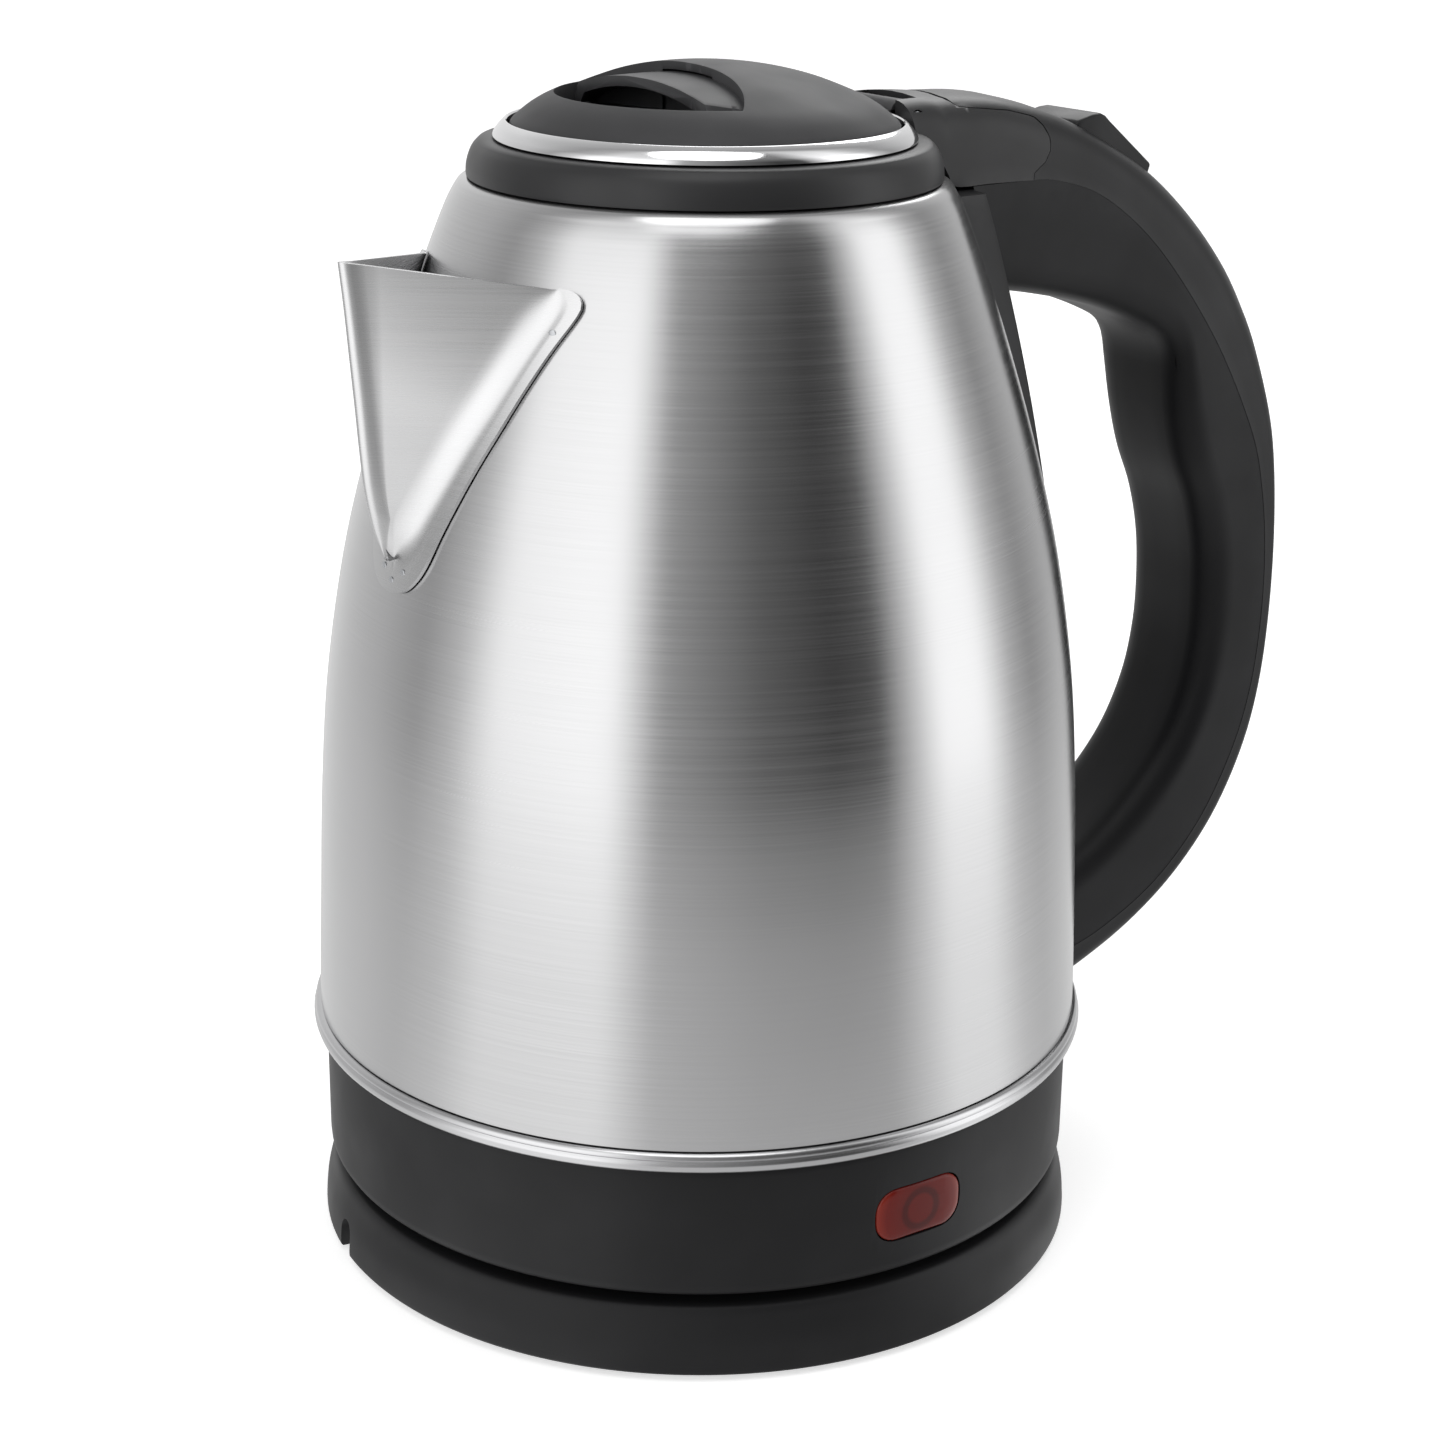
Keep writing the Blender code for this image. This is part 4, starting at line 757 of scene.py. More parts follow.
# %% Lens
def build_lens(bm):
    """A rounded face raised in insets, then bent round the skirt."""
    bmesh.ops.create_grid(bm, x_segments=1, y_segments=1, size=0.5)
    bmesh.ops.scale(bm, vec=(WINDOW_W * MM, WINDOW_H * MM, 1), verts=bm.verts)
    bmesh.ops.bevel(bm, geom=list(bm.verts), offset=WINDOW_R * MM, segments=8, profile=0.5,
                    affect="VERTICES", material=-1)
    pressed = bmesh.ops.extrude_face_region(bm, geom=list(bm.faces))
    front = [g for g in pressed["geom"] if isinstance(g, bmesh.types.BMFace)]
    raised = [g for g in pressed["geom"] if isinstance(g, bmesh.types.BMVert)]
    bmesh.ops.translate(bm, vec=(0, 0, 2.4 * MM), verts=raised)
    for width, lift in ((0.25, 0.22), (0.35, 0.14), (0.8, 0.08), (1.0, 0.05), (1.2, 0.02)):
        bmesh.ops.inset_region(bm, faces=front, thickness=width * MM, depth=lift * MM,
                               use_even_offset=True)
    for v in bm.verts:
        x, z, out = v.co
        turn_by = LENS_TURN + x / (SKIRT_R * MM)
        reach = (SKIRT_R - 2.5) * MM + out
        v.co = (reach * math.sin(turn_by), -reach * math.cos(turn_by), LENS_Z * MM + z)


lens = solid("indicator_lens_fine", build_lens)
deliver(lens, "kettle", "red_lens", "red_lens", "indicator_lens", sharp=60)

# %% [markdown]
# ## The steel body
# The body is spun from sheet: it rises almost straight from the rim, then draws in to the
# neck. The outline passes through ten measured points. The inner face is the same line moved
# in by the sheet's thickness, so the inside is right too when the lid is open.

# %% Body
SHEET = 0.8
BODY_POINTS = [(76.6, 46.4), (76.5, 52.0), (75.85, 69.3), (74.85, 92.2), (73.0, 115.1), (69.34, 138.0),
               (64.55, 157.6), (59.2, 175.6), (53.06, 193.6), (48.9, 204.3), (46.9, 208.2)]
body_line = smooth_line(BODY_POINTS, 8) + [Vector(p) for p in (
    (46.2, 209.2), (45.4, 209.8), (44.4, 210.0), (41.4, 210.0))]
inner_line = []
for i, point in enumerate(body_line):
    ahead = body_line[min(i + 1, len(body_line) - 1)] - body_line[max(i - 1, 0)]
    inner_line.append(point + Vector((-ahead.y, ahead.x)).normalized() * SHEET)


def body_radius(z):
    """Outer radius of the steel body at a height in mm."""
    for low, high in zip(body_line, body_line[1:]):
        if low.y <= z <= high.y and high.y > low.y:
            return low.x + (high.x - low.x) * (z - low.y) / (high.y - low.y)
    return body_line[0].x


body = turned("body_shell_fine", [tuple(p) for p in body_line + inner_line[::-1]], 192)
STRAINER_LOW, ROW_STEP, HOLE_STEP, HOLE_R = 164.6, 9, 8, 1.8
holes = []
for row, count in enumerate((1, 2, 3)):
    z = STRAINER_LOW + row * ROW_STEP
    reach = body_radius(z)
    for k in range(count):
        y = (k - (count - 1) / 2) * HOLE_STEP
        holes.append(rod_solid("strainer", (-reach - 6, y, z), (-reach + 12, y, z), HOLE_R, 24))
carve(body, holes)
deliver(body, "kettle", "brushed_steel", "brushed_steel", "body_shell")

# %% Rim
rim = turned("bottom_rim_fine", [
    (74.6, 46.1), (76.9, 46.1), (77.4, 45.9), (77.7, 45.4), (77.75, 45.0), (77.6, 44.75), (77.75, 44.5),
    (78.0, 44.1), (78.0, 43.5), (77.8, 42.9), (77.4, 42.5), (74.6, 42.5)], 192)
deliver(rim, "kettle", "rolled_steel", "brushed_steel", "bottom_rim")

# %% [markdown]
# ## The spout
# The spout is one pressed sheet: two walls that meet in a soft keel, with a flange spread on
# the body and held by spot welds. A flat grid is laid out first, with its columns running
# from one flange edge over the keel to the other, and every point is then carried to its
# place on the lines that were measured. A Solidify step gives the sheet its thickness.

# %% Spout lines
CREASE = [(0.0, 146.0), (3.0, 150.0), (5.7, 155.5), (8.9, 162.0), (12.3, 170.2), (15.5, 177.4),
          (18.2, 184.7), (20.6, 191.6), (22.6, 196.7)]
FLANGE = [(0.0, 140.5), (4.0, 141.3), (6.9, 143.6), (9.1, 147.0), (11.3, 153.0), (13.7, 159.0),
          (16.3, 165.4), (19.3, 172.5), (22.0, 179.5), (24.7, 186.4), (27.1, 192.0), (27.6, 194.4),
          (26.6, 196.1), (24.9, 196.9), (22.9, 197.1)]
KEEL = [(70.3, 146.4), (71.6, 149.6), (73.0, 153.6), (74.3, 160.0), (75.0, 166.5), (75.7, 175.0),
        (76.5, 184.0), (77.3, 193.0), (78.2, 201.1)]
ROWS, COLUMNS = 56, 60
PROUD = 0.3 + SHEET              # how far the sheet's outer face stands off the body
FLANGE_END, FOLD_END, WALL_END = 0.16, 0.40, 0.78    # shares of the way from edge to keel
FOLD_SOFT, NOSE_SOFT = 4.5, 3.6  # length over which the fold and the nose are rounded
crease = evenly(smooth_line(CREASE), 200)
flange = evenly(smooth_line(FLANGE), 200)
keel = evenly(smooth_line(KEEL), 200)


def read(line, t):
    spot = min(max(t, 0.0), 1.0) * (len(line) - 1)
    low = min(int(spot), len(line) - 2)
    return line[low].lerp(line[low + 1], spot - low)


def on_body(y, z, proud):
    """A point on the spout's side of the body, a little proud of it."""
    reach = body_radius(z) + proud
    return Vector((-math.sqrt(max(reach * reach - y * y, 1.0)), y, z))


def curve_point(a, control, b, t):
    return a * (1 - t) ** 2 + control * 2 * t * (1 - t) + b * t * t


def spout_point(u, t):
    """u runs from the flange's edge (0) to the keel (1); t from the foot (0) to the lip (1)."""
    edge_y, edge_z = read(flange, t)
    fold_y, fold_z = read(crease, t)
    far, high = read(keel, t)
    fold = on_body(fold_y, fold_z, PROUD)
    nose = Vector((-far, 0.0, high))
    wall = nose - fold
    outward = on_body(edge_y, edge_z, PROUD)
    size = min(1.0, t * 6.0)
    turn_in = fold + wall * min(0.5, FOLD_SOFT * size / max(wall.length, 0.01))
    flat = fold + (outward - fold) * 0.55
    soft = nose - wall * min(0.45, NOSE_SOFT * size / max(wall.length, 0.01))
    tip_control = Vector((2 * nose.x - soft.x, 0.0, 2 * nose.z - soft.z))
    mirror = Vector((soft.x, -soft.y, soft.z))
    if u < FLANGE_END:
        spot = outward.lerp(flat, u / FLANGE_END)
        return on_body(spot.y, spot.z, PROUD)
    if u < FOLD_END:
        return curve_point(flat, fold, turn_in, (u - FLANGE_END) / (FOLD_END - FLANGE_END))
    if u < WALL_END:
        return turn_in.lerp(soft, (u - FOLD_END) / (WALL_END - FOLD_END))
    return curve_point(soft, tip_control, mirror, (u - WALL_END) / (1 - WALL_END) * 0.5)


# %% Spout sheet
def build_spout(bm):
    bmesh.ops.create_grid(bm, x_segments=COLUMNS, y_segments=ROWS, size=1.0)
    for v in bm.verts:
        u, t = v.co.x, (v.co.y + 1) / 2
        t = 0.5 - 0.5 * math.cos(math.pi * t)
        spot = spout_point(1 - abs(u), t)
        side = 1 if u >= 0 else -1
        v.co = Vector((spot.x, side * abs(spot.y), spot.z)) * MM


spout = solid("spout_fine", build_spout)
sheet = spout.data
towards = sum((p.normal.x * p.area for p in sheet.polygons))
if towards > 0:
    sheet.flip_normals()
thick = spout.modifiers.new("sheet", "SOLIDIFY")
thick.thickness = SHEET * MM
thick.offset = -1
settle(spout)
deliver(spout, "kettle", "pressed_steel", "brushed_steel", "spout", sharp=60)

# %% Spot welds
WELDS = [(0.0, 142.6), (3.2, 144.6), (-3.2, 144.6), (24.2, 189.6), (-24.2, 189.6)]


def build_welds(bm):
    for y, z in WELDS:
        spot = on_body(y, z, PROUD)
        out = Vector((spot.x, spot.y, 0)).normalized()
        made = bmesh.ops.create_uvsphere(bm, u_segments=16, v_segments=8, radius=0.75 * MM)
        bmesh.ops.scale(bm, vec=(1, 1, 0.16), verts=made["verts"])
        bmesh.ops.rotate(bm, cent=(0, 0, 0), verts=made["verts"],
                         matrix=Vector((0, 0, 1)).rotation_difference(out).to_matrix())
        bmesh.ops.translate(bm, vec=spot * MM, verts=made["verts"])


welds = solid("spout_welds", build_welds)
deliver(welds, "kettle", "zinc_steel", "brushed_steel")

# %% [markdown]
# ## The handle
# The handle is hollow and made in two halves: an outer cover and an inner grip, which meet in
# a seam along each side. A cross section is drawn as a ring of points and extruded from
# station to station along the handle, like a sleeve. The outer corners are well rounded and
# the seam's side is flat.

# %% Handle lines
HALF = 14.0
OUTER = [(52, 222.0), (60, 221.7), (67, 220.7), (80, 217.2), (96.2, 209.9), (109, 202.5),
         (120, 193.6), (129.2, 184.0), (135.8, 174.6), (140.8, 165.2), (146.8, 146.6), (149, 127),
         (149.2, 105), (147.6, 86.5), (143.7, 71.5), (135.8, 57), (124.6, 45.2), (111.6, 36.2),
         (99.4, 30.4), (87.6, 26), (72, 23)]
SEAM = [(52, 205.6), (60, 205.5), (66.2, 205.4), (76, 205.0), (90, 200.4), (106.5, 188.3),
        (124.5, 167.7), (137.5, 146.6), (142.3, 133), (144.8, 118), (145.2, 102), (143.4, 86),
        (138.8, 72), (130.2, 57.6), (118, 46), (103.5, 38.5), (90, 34.7), (72, 33)]
GRIP_SEAM = [(54.5, 205.4)] + SEAM[2:]
INNER = [(62.0, 183.8), (76, 181.4), (92, 177.6), (105, 172.8), (111.5, 169.2), (115, 164.5),
         (116, 158), (117.4, 150), (120.4, 140), (125, 130), (128, 119), (129, 107), (128.6, 97),
         (126.2, 86.5), (120.5, 75.5), (111, 65.5), (100, 57.5), (88, 51.8), (80, 49.4), (72, 48)]


def half_ring(half, depth, corner, belly, steps=7):
    """Half a cross section as (sideways, depth from the rounded face), from its middle out."""
    corner = min(corner, depth * 0.6, half * 0.9)
    out = [(0.0, -belly), ((half - corner) * 0.5, -belly * 0.75)]
    for k in range(steps + 1):
        a = math.pi / 2 * k / steps
        out.append((half - corner + corner * math.sin(a), corner - corner * math.cos(a)))
    return out + [(half, corner + (depth - corner) * 0.5), (half, depth)]


def sleeve(name, face_line, seam_line, half, corner, stations=90, belly=0.0, inset=0.0):
    """A sleeve between two side-view lines, rounded towards the first one."""
    faces = evenly(smooth_line(face_line), stations)
    seams = evenly(smooth_line(seam_line), stations)

    def section(top, low):
        inward = low - top
        start = top + inward.normalized() * inset
        side = half_ring(half, inward.length - 2 * inset, corner, belly)
        spots = []
        for y, d in side + [(-y, d) for y, d in side[:0:-1]]:
            flat = start + inward.normalized() * d
            spots.append(Vector((flat.x, y, flat.y)) * MM)
        return spots

    return solid(name, lambda bm: sweep(bm, [section(*pair) for pair in zip(faces, seams)]))


# %% [markdown]
# The cover's front end laps over the collar's tongue: on top the joint lies near the lid, and
# on the sides the tongue reaches further back and ends in a round. Both pieces are cut by one
# outline from sleeves of the same section along nearly the same lines, so they meet with a hair's gap.

# %% Cover
TONGUE = [(30, 250), (50.6, 250), (50.9, 221.9), (52.6, 220.4), (58, 219.8), (65, 219.0), (70.6, 217.7),
          (72.0, 217.2), (73.4, 215.6), (74.3, 213.4), (74.2, 211.0), (73.0, 208.8), (70.8, 207.3),
          (70.2, 206.7), (70.0, 204.5), (70.0, 190), (30, 190)]
rocker_middle = Vector((96.8, 209.3))
rocker_slope = math.atan2(14.9, 29.0)


def on_seat(along_seat, out):
    """A side-view point from its place along the rocker's seat and out of it."""
    c, s = math.cos(rocker_slope), math.sin(rocker_slope)
    return (rocker_middle.x + along_seat * c + out * s, rocker_middle.y - along_seat * s + out * c)


def grown(outline, gap):
    """A closed outline moved outwards by a gap."""
    out = []
    for i, point in enumerate(outline):
        way = (Vector(outline[(i + 1) % len(outline)]) - Vector(outline[i - 1])).normalized()
        out.append((point[0] - way.y * gap, point[1] + way.x * gap))
    return out


ROCKER_LEN, ROCKER_HALF = 23.6, 8.5
cover = sleeve("handle_cover_fine", OUTER, SEAM, HALF, 8.0, 110, belly=0.5)
pocket = side_plate("rocker_pocket", [
    on_seat(-ROCKER_LEN / 2 - 0.6, -7), on_seat(ROCKER_LEN / 2 + 0.6, -7),
    on_seat(ROCKER_LEN / 2 + 0.6, 14), on_seat(-ROCKER_LEN / 2 - 0.6, 14)], ROCKER_HALF + 0.4)
hollow_outer = [p for p in OUTER if p[0] > 76]
hollow_inner = [p for p in INNER if p[0] > 76]
hollow, hollow_twin = [sleeve(name, hollow_outer, hollow_inner, HALF - 3.0, 5.0, 60, inset=2.8)
                       for name in ("hollow", "hollow_twin")]
carve(cover, [side_plate("tongue_way", grown(TONGUE, 0.15), 30), pocket, hollow])
deliver(cover, "kettle", "cover_satin", "cover_satin", "handle_cover")

# %% Grip
grip = sleeve("handle_grip_fine", INNER, GRIP_SEAM, HALF - 0.1, 7.0, 100)
carve(grip, [hollow_twin])
deliver(grip, "kettle", "grip_black", "grip_black", "handle_grip")

# %% [markdown]
# ## The moulding behind the handle
# A strip runs down the body from the collar to the handle's foot. It has a shoulder along
# each side, which catches a thin line of light. Its cross section is a ring again, and it is
# carried down the body's outline.

# %% Strip
STRIP_RING = [(0, 6.5), (12.2, 6.5), (13.6, 6.3), (14.2, 5.9), (14.7, 5.3), (15.6, 5.1),
              (18.2, 4.9), (19.2, 4.3), (19.6, 3.3), (19.6, -6.0)]
STRIP_TOP, STRIP_LOW = 204.8, 49.9


def strip_section(z):
    full = STRIP_RING + [(-y, d) for y, d in STRIP_RING[:0:-1]]
    return [Vector((body_radius(z) + d, y, z)) * MM for y, d in full]


heights = [STRIP_TOP - (STRIP_TOP - STRIP_LOW) * i / 47 for i in range(48)]
strip = solid("handle_strip_fine", lambda bm: sweep(bm, [strip_section(z) for z in heights]))
inside_body = turned("inside_body", [(0, 212)] + [(p.x + 0.3, p.y) for p in body_line[::-1]] + [
    (76.9, 40), (0, 40)], 128, closed=False)
carve(strip, [inside_body])
deliver(strip, "kettle", "cover_satin", "cover_satin", "handle_strip", sharp=30)

# %% [markdown]
# ## The rocker
# The switch is a little see-saw with a low peak towards the lid. Its side view is extruded
# and every edge is softened.

# %% Rocker
pivot = on_seat(0, -3.0)
rocker_side = [on_seat(-ROCKER_LEN / 2, -5), on_seat(ROCKER_LEN / 2, -5),
               on_seat(ROCKER_LEN / 2 + 0.2, -0.4), on_seat(ROCKER_LEN / 2, 1.4), on_seat(-3.6, 4.3),
               on_seat(-5.2, 4.7), on_seat(-6.6, 4.6), on_seat(-8.4, 3.5), on_seat(-10.4, 1.8),
               on_seat(-ROCKER_LEN / 2, 0.6)]
rocker = side_plate("switch_rocker_fine", rocker_side, ROCKER_HALF, 0.7)
carve(rocker, [rod_solid("bore", (pivot[0], -15, pivot[1]), (pivot[0], 15, pivot[1]), 1.5, 24)])
deliver(rocker, "switch_rocker", "rocker_black", "rocker_black", "switch_rocker")

# %% [markdown]
# ## The collar
# The collar is a turned ring with a bulging side, joined to the tongue that the handle's
# cover laps over. The two are one moulding, so they are joined with a Boolean. The hinge's
# slot, its pin's hole and the steam's way to the handle are cut through it.

# %% Collar
COLLAR_LOW, COLLAR_TOP = 210.3, 217.0
HINGE = (41.5, 219.3)            # the pin's place in the side view
SLOT_HALF = 7.5
collar_side = smooth_line([
    (42.3, COLLAR_TOP - 0.35), (43.3, COLLAR_TOP - 1.4), (44.0, COLLAR_TOP - 2.8),
    (44.5, COLLAR_TOP - 4.6), (44.6, COLLAR_LOW + 0.5)], 5)
collar_deck = [(37.3, COLLAR_TOP - 0.3), (37.6, COLLAR_TOP), (40.6, COLLAR_TOP),
               (41.6, COLLAR_TOP - 0.1)]
collar_foot = [(44.5, COLLAR_LOW), (40.5, COLLAR_LOW), (40.5, COLLAR_LOW - 6), (37.3, COLLAR_LOW - 6)]
collar = turned("collar_fine", collar_deck + [tuple(p) for p in collar_side] + collar_foot, 192)
TONGUE_TOP = [(39.4, 222.3), (46, 222.4), (52, 222.0), (60, 221.7), (67, 220.7), (80, 217.2)]
TONGUE_LOW = [(39.4, 210.7), (45.6, 210.6), (48.0, 208.0), (50.0, 205.7), (60, 205.6), (76, 205.3)]
tongue = sleeve("tongue", TONGUE_TOP, TONGUE_LOW, HALF, 8.0, 40, belly=0.5)
carve(tongue, [side_plate("tongue_keep", TONGUE, 30)], "INTERSECT")
carve(collar, [tongue], "UNION")
carve(collar, [
    box_solid("hinge_slot", (35.5, -SLOT_HALF, 216.1), (44.6, SLOT_HALF, 240)),
    rod_solid("pin_hole", (HINGE[0], -12, HINGE[1]), (HINGE[0], 12, HINGE[1]), 1.4, 32),
    rod_solid("steam_way", (34.3, 0, 213.4), (78, 0, 213.4), 1.9, 32),
    box_solid("keeper", (-39.7, -6, 212.4), (-35.3, 6, 215.8))])
deliver(collar, "kettle", "collar_black", "collar_black", "collar")

# %% Trim ring
trim = turned("trim_ring_fine", [
    (36.9, 220.1), (37.1, 220.35), (37.5, 220.3), (38.6, 219.2), (39.2, 218.4), (39.6, 217.7),
    (39.6, 217.4), (39.3, 217.3), (37.3, 217.3), (36.9, 217.8)], 192)
carve(trim, [box_solid("ring_slot", (30, -SLOT_HALF, 210), (50, SLOT_HALF, 240))])
deliver(trim, "kettle", "chrome_trim", "chrome_trim", "trim_ring")

# %% [markdown]
# ## The lid
# The lid is a shallow dome. Its front half is scooped out for the fingers down to a flat
# floor, and the rear half stays as a hood over the latch's pull. The scoop's rim is a circle,
# and the hood's edge crosses it in a gentle bow. The dome is spun solid, then carved.

# %% Lid dome
LID_R, CROWN, SCOOP_LOW = 36.5, 230.9, 221.5
DOME = [(0, CROWN), (6.2, 230.75), (13.6, 229.8), (21.1, 228.0), (28.5, 225.2), (32.2, 223.3),
        (35.0, 221.2), (36.2, 220.0), (LID_R, 219.0)]
dome_line = smooth_line(DOME, 6)


def dome_height(r):
    """Height of the dome's outside at a radius."""
    for a, b in zip(dome_line, dome_line[1:]):
        if a.x <= r <= b.x:
            return a.y + (b.y - a.y) * (r - a.x) / max(b.x - a.x, 0.0001)
    return dome_line[-1].y


lid = turned("lid_dome_fine", [tuple(p) for p in dome_line] + [
    (LID_R, 216.0), (LID_R - 0.5, 211.0), (0, 211.0)], 160, closed=False)
SCOOP_R, LID_WALL = 28.2, 1.5
HOOD_EDGE = [(-10.9, 26.0), (-9.9, 25.0), (-7.7, 21.9), (-5.8, 17.4), (-4.7, 12.3), (-4.3, 7.8),
             (-4.2, 0)]
arc_from = math.atan2(HOOD_EDGE[0][1], HOOD_EDGE[0][0])
scoop_arc = [(SCOOP_R * math.cos(a), SCOOP_R * math.sin(a))
             for a in (arc_from + (2 * math.pi - 2 * arc_from) * k / 64 for k in range(65))]
hood = [tuple(p) for p in smooth_line(HOOD_EDGE, 4)]
scoop_plan = scoop_arc + [(x, -y) for x, y in hood[1:]] + hood[-2:0:-1]
scoop = plan_plate("scoop", scoop_plan, SCOOP_LOW, 240)
hood_inside = [(0, CROWN - LID_WALL)] + [(p.x, p.y - LID_WALL) for p in dome_line[1:] if p.x < 32]
cavity = turned("under_hood", hood_inside + [(32.4, 218.4), (0, 218.4)], 128, closed=False)
carve(cavity, [box_solid("front", (-60, -60, 150), (-4.3, 60, 300))])
hollow_low = turned("lid_hollow", [(0, 219.9), (34.1, 219.9), (33.9, 205), (0, 205)], 96, closed=False)
bolt_way = box_solid("bolt_way", (-38.5, -5.5, 212.8), (-30.5, 5.5, 215.6))
carve(lid, [cavity, scoop, hollow_low, bolt_way])
soften(lid, 0.35, 3, 50)
tab = box_solid("hinge_tab", (32.5, -7, 217.7), (HINGE[0], 7, 220.3))
knuckle = rod_solid("knuckle", (HINGE[0], -7, HINGE[1]), (HINGE[0], 7, HINGE[1]), 2.9, 48)
carve(lid, [tab, knuckle], "UNION")
carve(lid, [rod_solid("bore", (HINGE[0], -20, HINGE[1]), (HINGE[0], 20, HINGE[1]), 1.3, 24)])
deliver(lid, "lid", "lid_charcoal", "lid_charcoal", "lid_dome")

# %% [markdown]
# ## The latch
# The pull is a visor just under the hood: fingers go into its dark mouth and draw it back
# against a spring, which frees the lid. It follows the hood, so it is spun from the same line
# sunk by a little more than the hood's thickness, and kept only near the hood's edge. What
# stands in front of the hood is then lifted, so that the visor doesn't fall away with the
# dome but runs forward level.

# %% Pull
PULL_SINK, PULL_WALL = 1.9, 1.6
PULL_FRONT, PULL_BACK = -15, 3           # how far it reaches along the lid
PULL_FOOT = 222.1
BEND_X, LIFT_SHARE = 4, 0.85             # in front of this the visor is lifted by a share
pull_outer = [(p.x, p.y - PULL_SINK) for p in dome_line if p.x < 26.2]
pull_inner = [(x * 0.93, z - PULL_WALL) for x, z in pull_outer[::-1]]
pull = turned("latch_pull_fine", pull_outer + [(26.4, PULL_FOOT), (24.6, PULL_FOOT)] + pull_inner,
              128, closed=False)
carve(pull, [box_solid("pull_keep", (PULL_FRONT, -60, 150), (PULL_BACK, 60, 300))], "INTERSECT")
for v in pull.data.vertices:
    x, y = v.co.x / MM, v.co.y / MM
    if x < -BEND_X and v.co.z > (PULL_FOOT + 0.5) * MM:
        fall = dome_height(math.hypot(BEND_X, y)) - dome_height(min(math.hypot(x, y), 36))
        v.co.z += fall * LIFT_SHARE * MM
soften(pull, 0.3, 2, 50)
carve(pull, [box_solid("pull_web", (-3.5, -9, 213.2), (-1, 9, 227.0))], "UNION")
deliver(pull, "latch", "pull_charcoal", "lid_charcoal", "latch_pull")

# %% [markdown]
# ## Under the lid and inside
# The lid's inner cover, its seal, the heater's plate and the parts under the kettle are
# turned too. They show when the lid is open or the kettle is lifted, so they are spun again
# with enough steps to look round.

# %% Turned inner pieces
SCREW_PLACE = 62                 # radius at which the skirt's screws sit in wells
INNER_PIECES = [
    ("lid_inner_cover", "lid", "pressed_steel", "brushed_steel",
     [(0, 210.7), (35.6, 210.7), (35.6, 209.9), (30.6, 209.9), (30, 209.7), (28.2, 208.5),
      (27.6, 208.3), (0, 208.3)], 128),
    ("lid_gasket", "lid", "seal_rubber", "seal_rubber",
     [(30.5, 209.6), (35.9, 209.6), (36.2, 209.2), (36.1, 208.4), (35.2, 208.2), (33.0, 208.6),
      (31.2, 208.1), (30.5, 208.2)], 128),
    ("heater_plate", "kettle", "pressed_steel", "brushed_steel",
     [(0, 47.6), (30, 47.6), (31, 47.3), (52, 47.3), (53, 47.6), (74.6, 47.6), (75.3, 47.3),
      (75.3, 46.5), (0, 46.5)], 160),
    ("skirt_floor", "kettle", "base_black", "base_black",
     [(17.1, 18.0), (73.0, 18.0), (73.0, 16.3), (72.6, 16.0), (17.5, 16.0), (17.1, 16.3)], 160),
    ("kettle_socket", "kettle", "control_ivory", "control_ivory",
     [(3.6, 31.2), (16.6, 31.2), (16.6, 16.3), (16.3, 16.0), (14.8, 16.0), (14.5, 16.4), (14.5, 28.8),
      (3.6, 28.8)], 96),
]
for name, owner, material, slot, outline, steps in INNER_PIECES:
    closed = outline[0][0] > 0
    piece = turned(name + "_fine", outline, steps, closed=closed)
    if name == "skirt_floor":
        wells = []
        for number in range(3):
            way = math.radians(90 + 120 * number)
            x, y = SCREW_PLACE * math.cos(way), SCREW_PLACE * math.sin(way)
            wells.append(rod_solid("well", (x, y, 10), (x, y, 17.3), 3.5, 32))
        carve(piece, wells)
    deliver(piece, owner, material, slot, name)

# %% [markdown]
# ## The rest of the frame's pieces
# Screws, springs, wires and the parts of the switch and control already have the right
# shape. They stay as they are and only take a finish.

# %% Finishes for the frame's own pieces
KEPT = {
    "base_black": ["base_lower_cover"],
    "zinc_steel": ["base_screw_1", "base_screw_2", "base_screw_3", "coupler_spring",
                   "element_terminal_1", "element_terminal_2", "skirt_screw_1", "skirt_screw_2",
                   "skirt_screw_3", "handle_screw_1", "handle_screw_2", "hinge_pin", "rocker_pin",
                   "lid_screw_1", "lid_screw_2", "latch_spring"],
    "aluminium": ["heat_diffuser", "heating_element"],
    "brass_contact": ["socket_earth_tube", "socket_live_blade", "socket_neutral_blade",
                      "boil_dry_disc_1", "boil_dry_disc_2", "steam_disc"],
    "control_ivory": ["control_unit", "steam_switch_body", "switch_lever"],
    "seal_rubber": ["collar_gasket"],
    "grey_nylon": ["latch_bolt"],
    "lamp_glass": ["indicator_lamp"],
    "wire_sleeve": ["switch_wire_1", "switch_wire_2"],
}
painted = 0
for material, names in KEPT.items():
    for name in names:
        obj = nodes[name]
        if not obj.material_slots:
            obj.data.materials.append(finish[material])
        for slot in obj.material_slots:
            slot.material = finish[material]
        painted += 1
print("painted", painted, "of the frame's pieces")

# %% [markdown]
# ## The floor
# A plain pale floor carries the kettle. It isn't part of the object. The lower half of the
# steel mirrors it, and a studio's glossy table mirrors the soft boxes in turn, so to other
# pieces the floor shows the room's bands, paler near the kettle's foot.

# %% Floor
FLOOR_SIZE = 4.0
FLOOR_FAR, FLOOR_CLOSE = 0.75, 0.20     # metres from the axis: full bands, pale bands
FLOOR_GREY, GREY_SHARE = 0.84, 0.65     # what the bands are mixed with when pale
FLOOR_LEAN, LEAN_TURN = 0.045, 0.6      # how the bands spread near the round foot
FLOOR_GLOW = 0.62                       # keeps the floor white to the eye


def build_floor(bm):
    bmesh.ops.create_grid(bm, x_segments=1, y_segments=1, size=FLOOR_SIZE)
    bmesh.ops.translate(bm, vec=(0, 0, CAD_BOX[0][2] - 0.00005), verts=bm.verts)


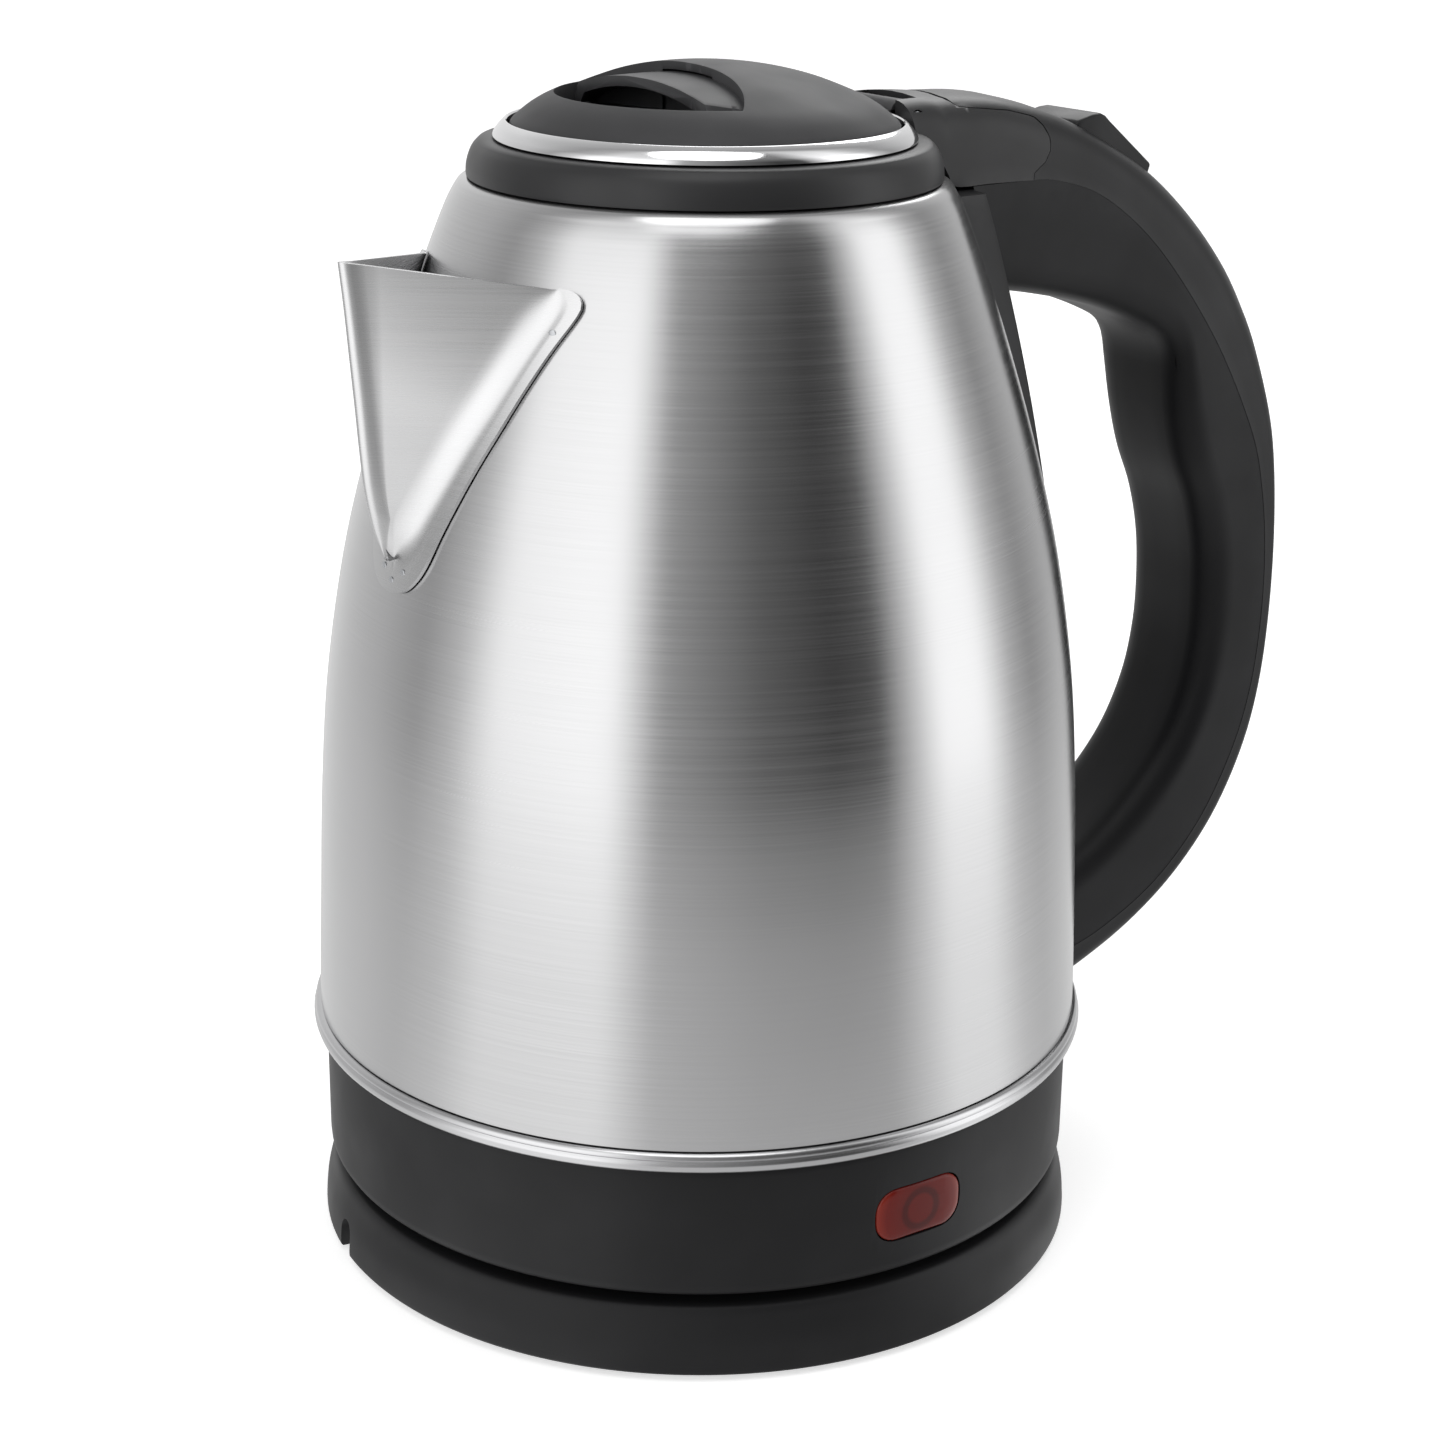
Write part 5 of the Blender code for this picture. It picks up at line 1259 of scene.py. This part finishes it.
def floor_bands(tree):
    """The room's bands laid on the floor by compass direction, as light for the other pieces."""
    spot = tree.nodes.new("ShaderNodeSeparateXYZ")
    tree.links.new(object_coords(tree), spot.inputs[0])
    x, y = spot.outputs["X"], spot.outputs["Y"]
    square = math_node(tree, "MULTIPLY_ADD", x, x, math_node(tree, "MULTIPLY", y, y))
    reach = math_node(tree, "POWER", square, 0.5)
    turn = turn_from_eye(tree, spot)
    swing = math_node(tree, "SINE", math_node(tree, "MULTIPLY", turn, LEAN_TURN))
    lean = math_node(tree, "MULTIPLY", swing, math_node(tree, "DIVIDE", FLOOR_LEAN, reach))
    bands = room_bands(tree, math_node(tree, "ADD", turn, lean))
    close = node(tree, "ShaderNodeMapRange", From_Min=FLOOR_FAR, From_Max=FLOOR_CLOSE,
                 To_Max=GREY_SHARE)
    tree.links.new(reach, close.inputs["Value"])
    light = node(tree, "ShaderNodeEmission", Strength=2.0)
    tree.links.new(blend_colours(tree, close.outputs[0], bands, (FLOOR_GREY / 2,) * 3),
                   light.inputs["Color"])
    return light.outputs[0]


def make_floor_finish():
    """Plain and pale to the eye; to every other ray it shows the room's bands."""
    made, tree, seen = start_material("pale_floor")
    paper = noise(tree, object_coords(tree), 3.0)
    tree.links.new(blend_colours(tree, paper, (0.79, 0.79, 0.79), (0.81, 0.81, 0.81)),
                   seen.inputs["Base Color"])
    seen.inputs["Roughness"].default_value = 0.9
    seen.inputs["Emission Color"].default_value = (1, 1, 1, 1)
    seen.inputs["Emission Strength"].default_value = FLOOR_GLOW
    choice = tree.nodes.new("ShaderNodeMixShader")
    tree.links.new(tree.nodes.new("ShaderNodeLightPath").outputs["Is Camera Ray"], choice.inputs[0])
    tree.links.new(floor_bands(tree), choice.inputs[1])
    tree.links.new(seen.outputs[0], choice.inputs[2])
    tree.links.new(choice.outputs[0], tree.nodes["Material Output"].inputs["Surface"])
    return made


floor = solid("floor", build_floor)
floor.data.materials.append(make_floor_finish())
print("floor at", CAD_BOX[0][2])
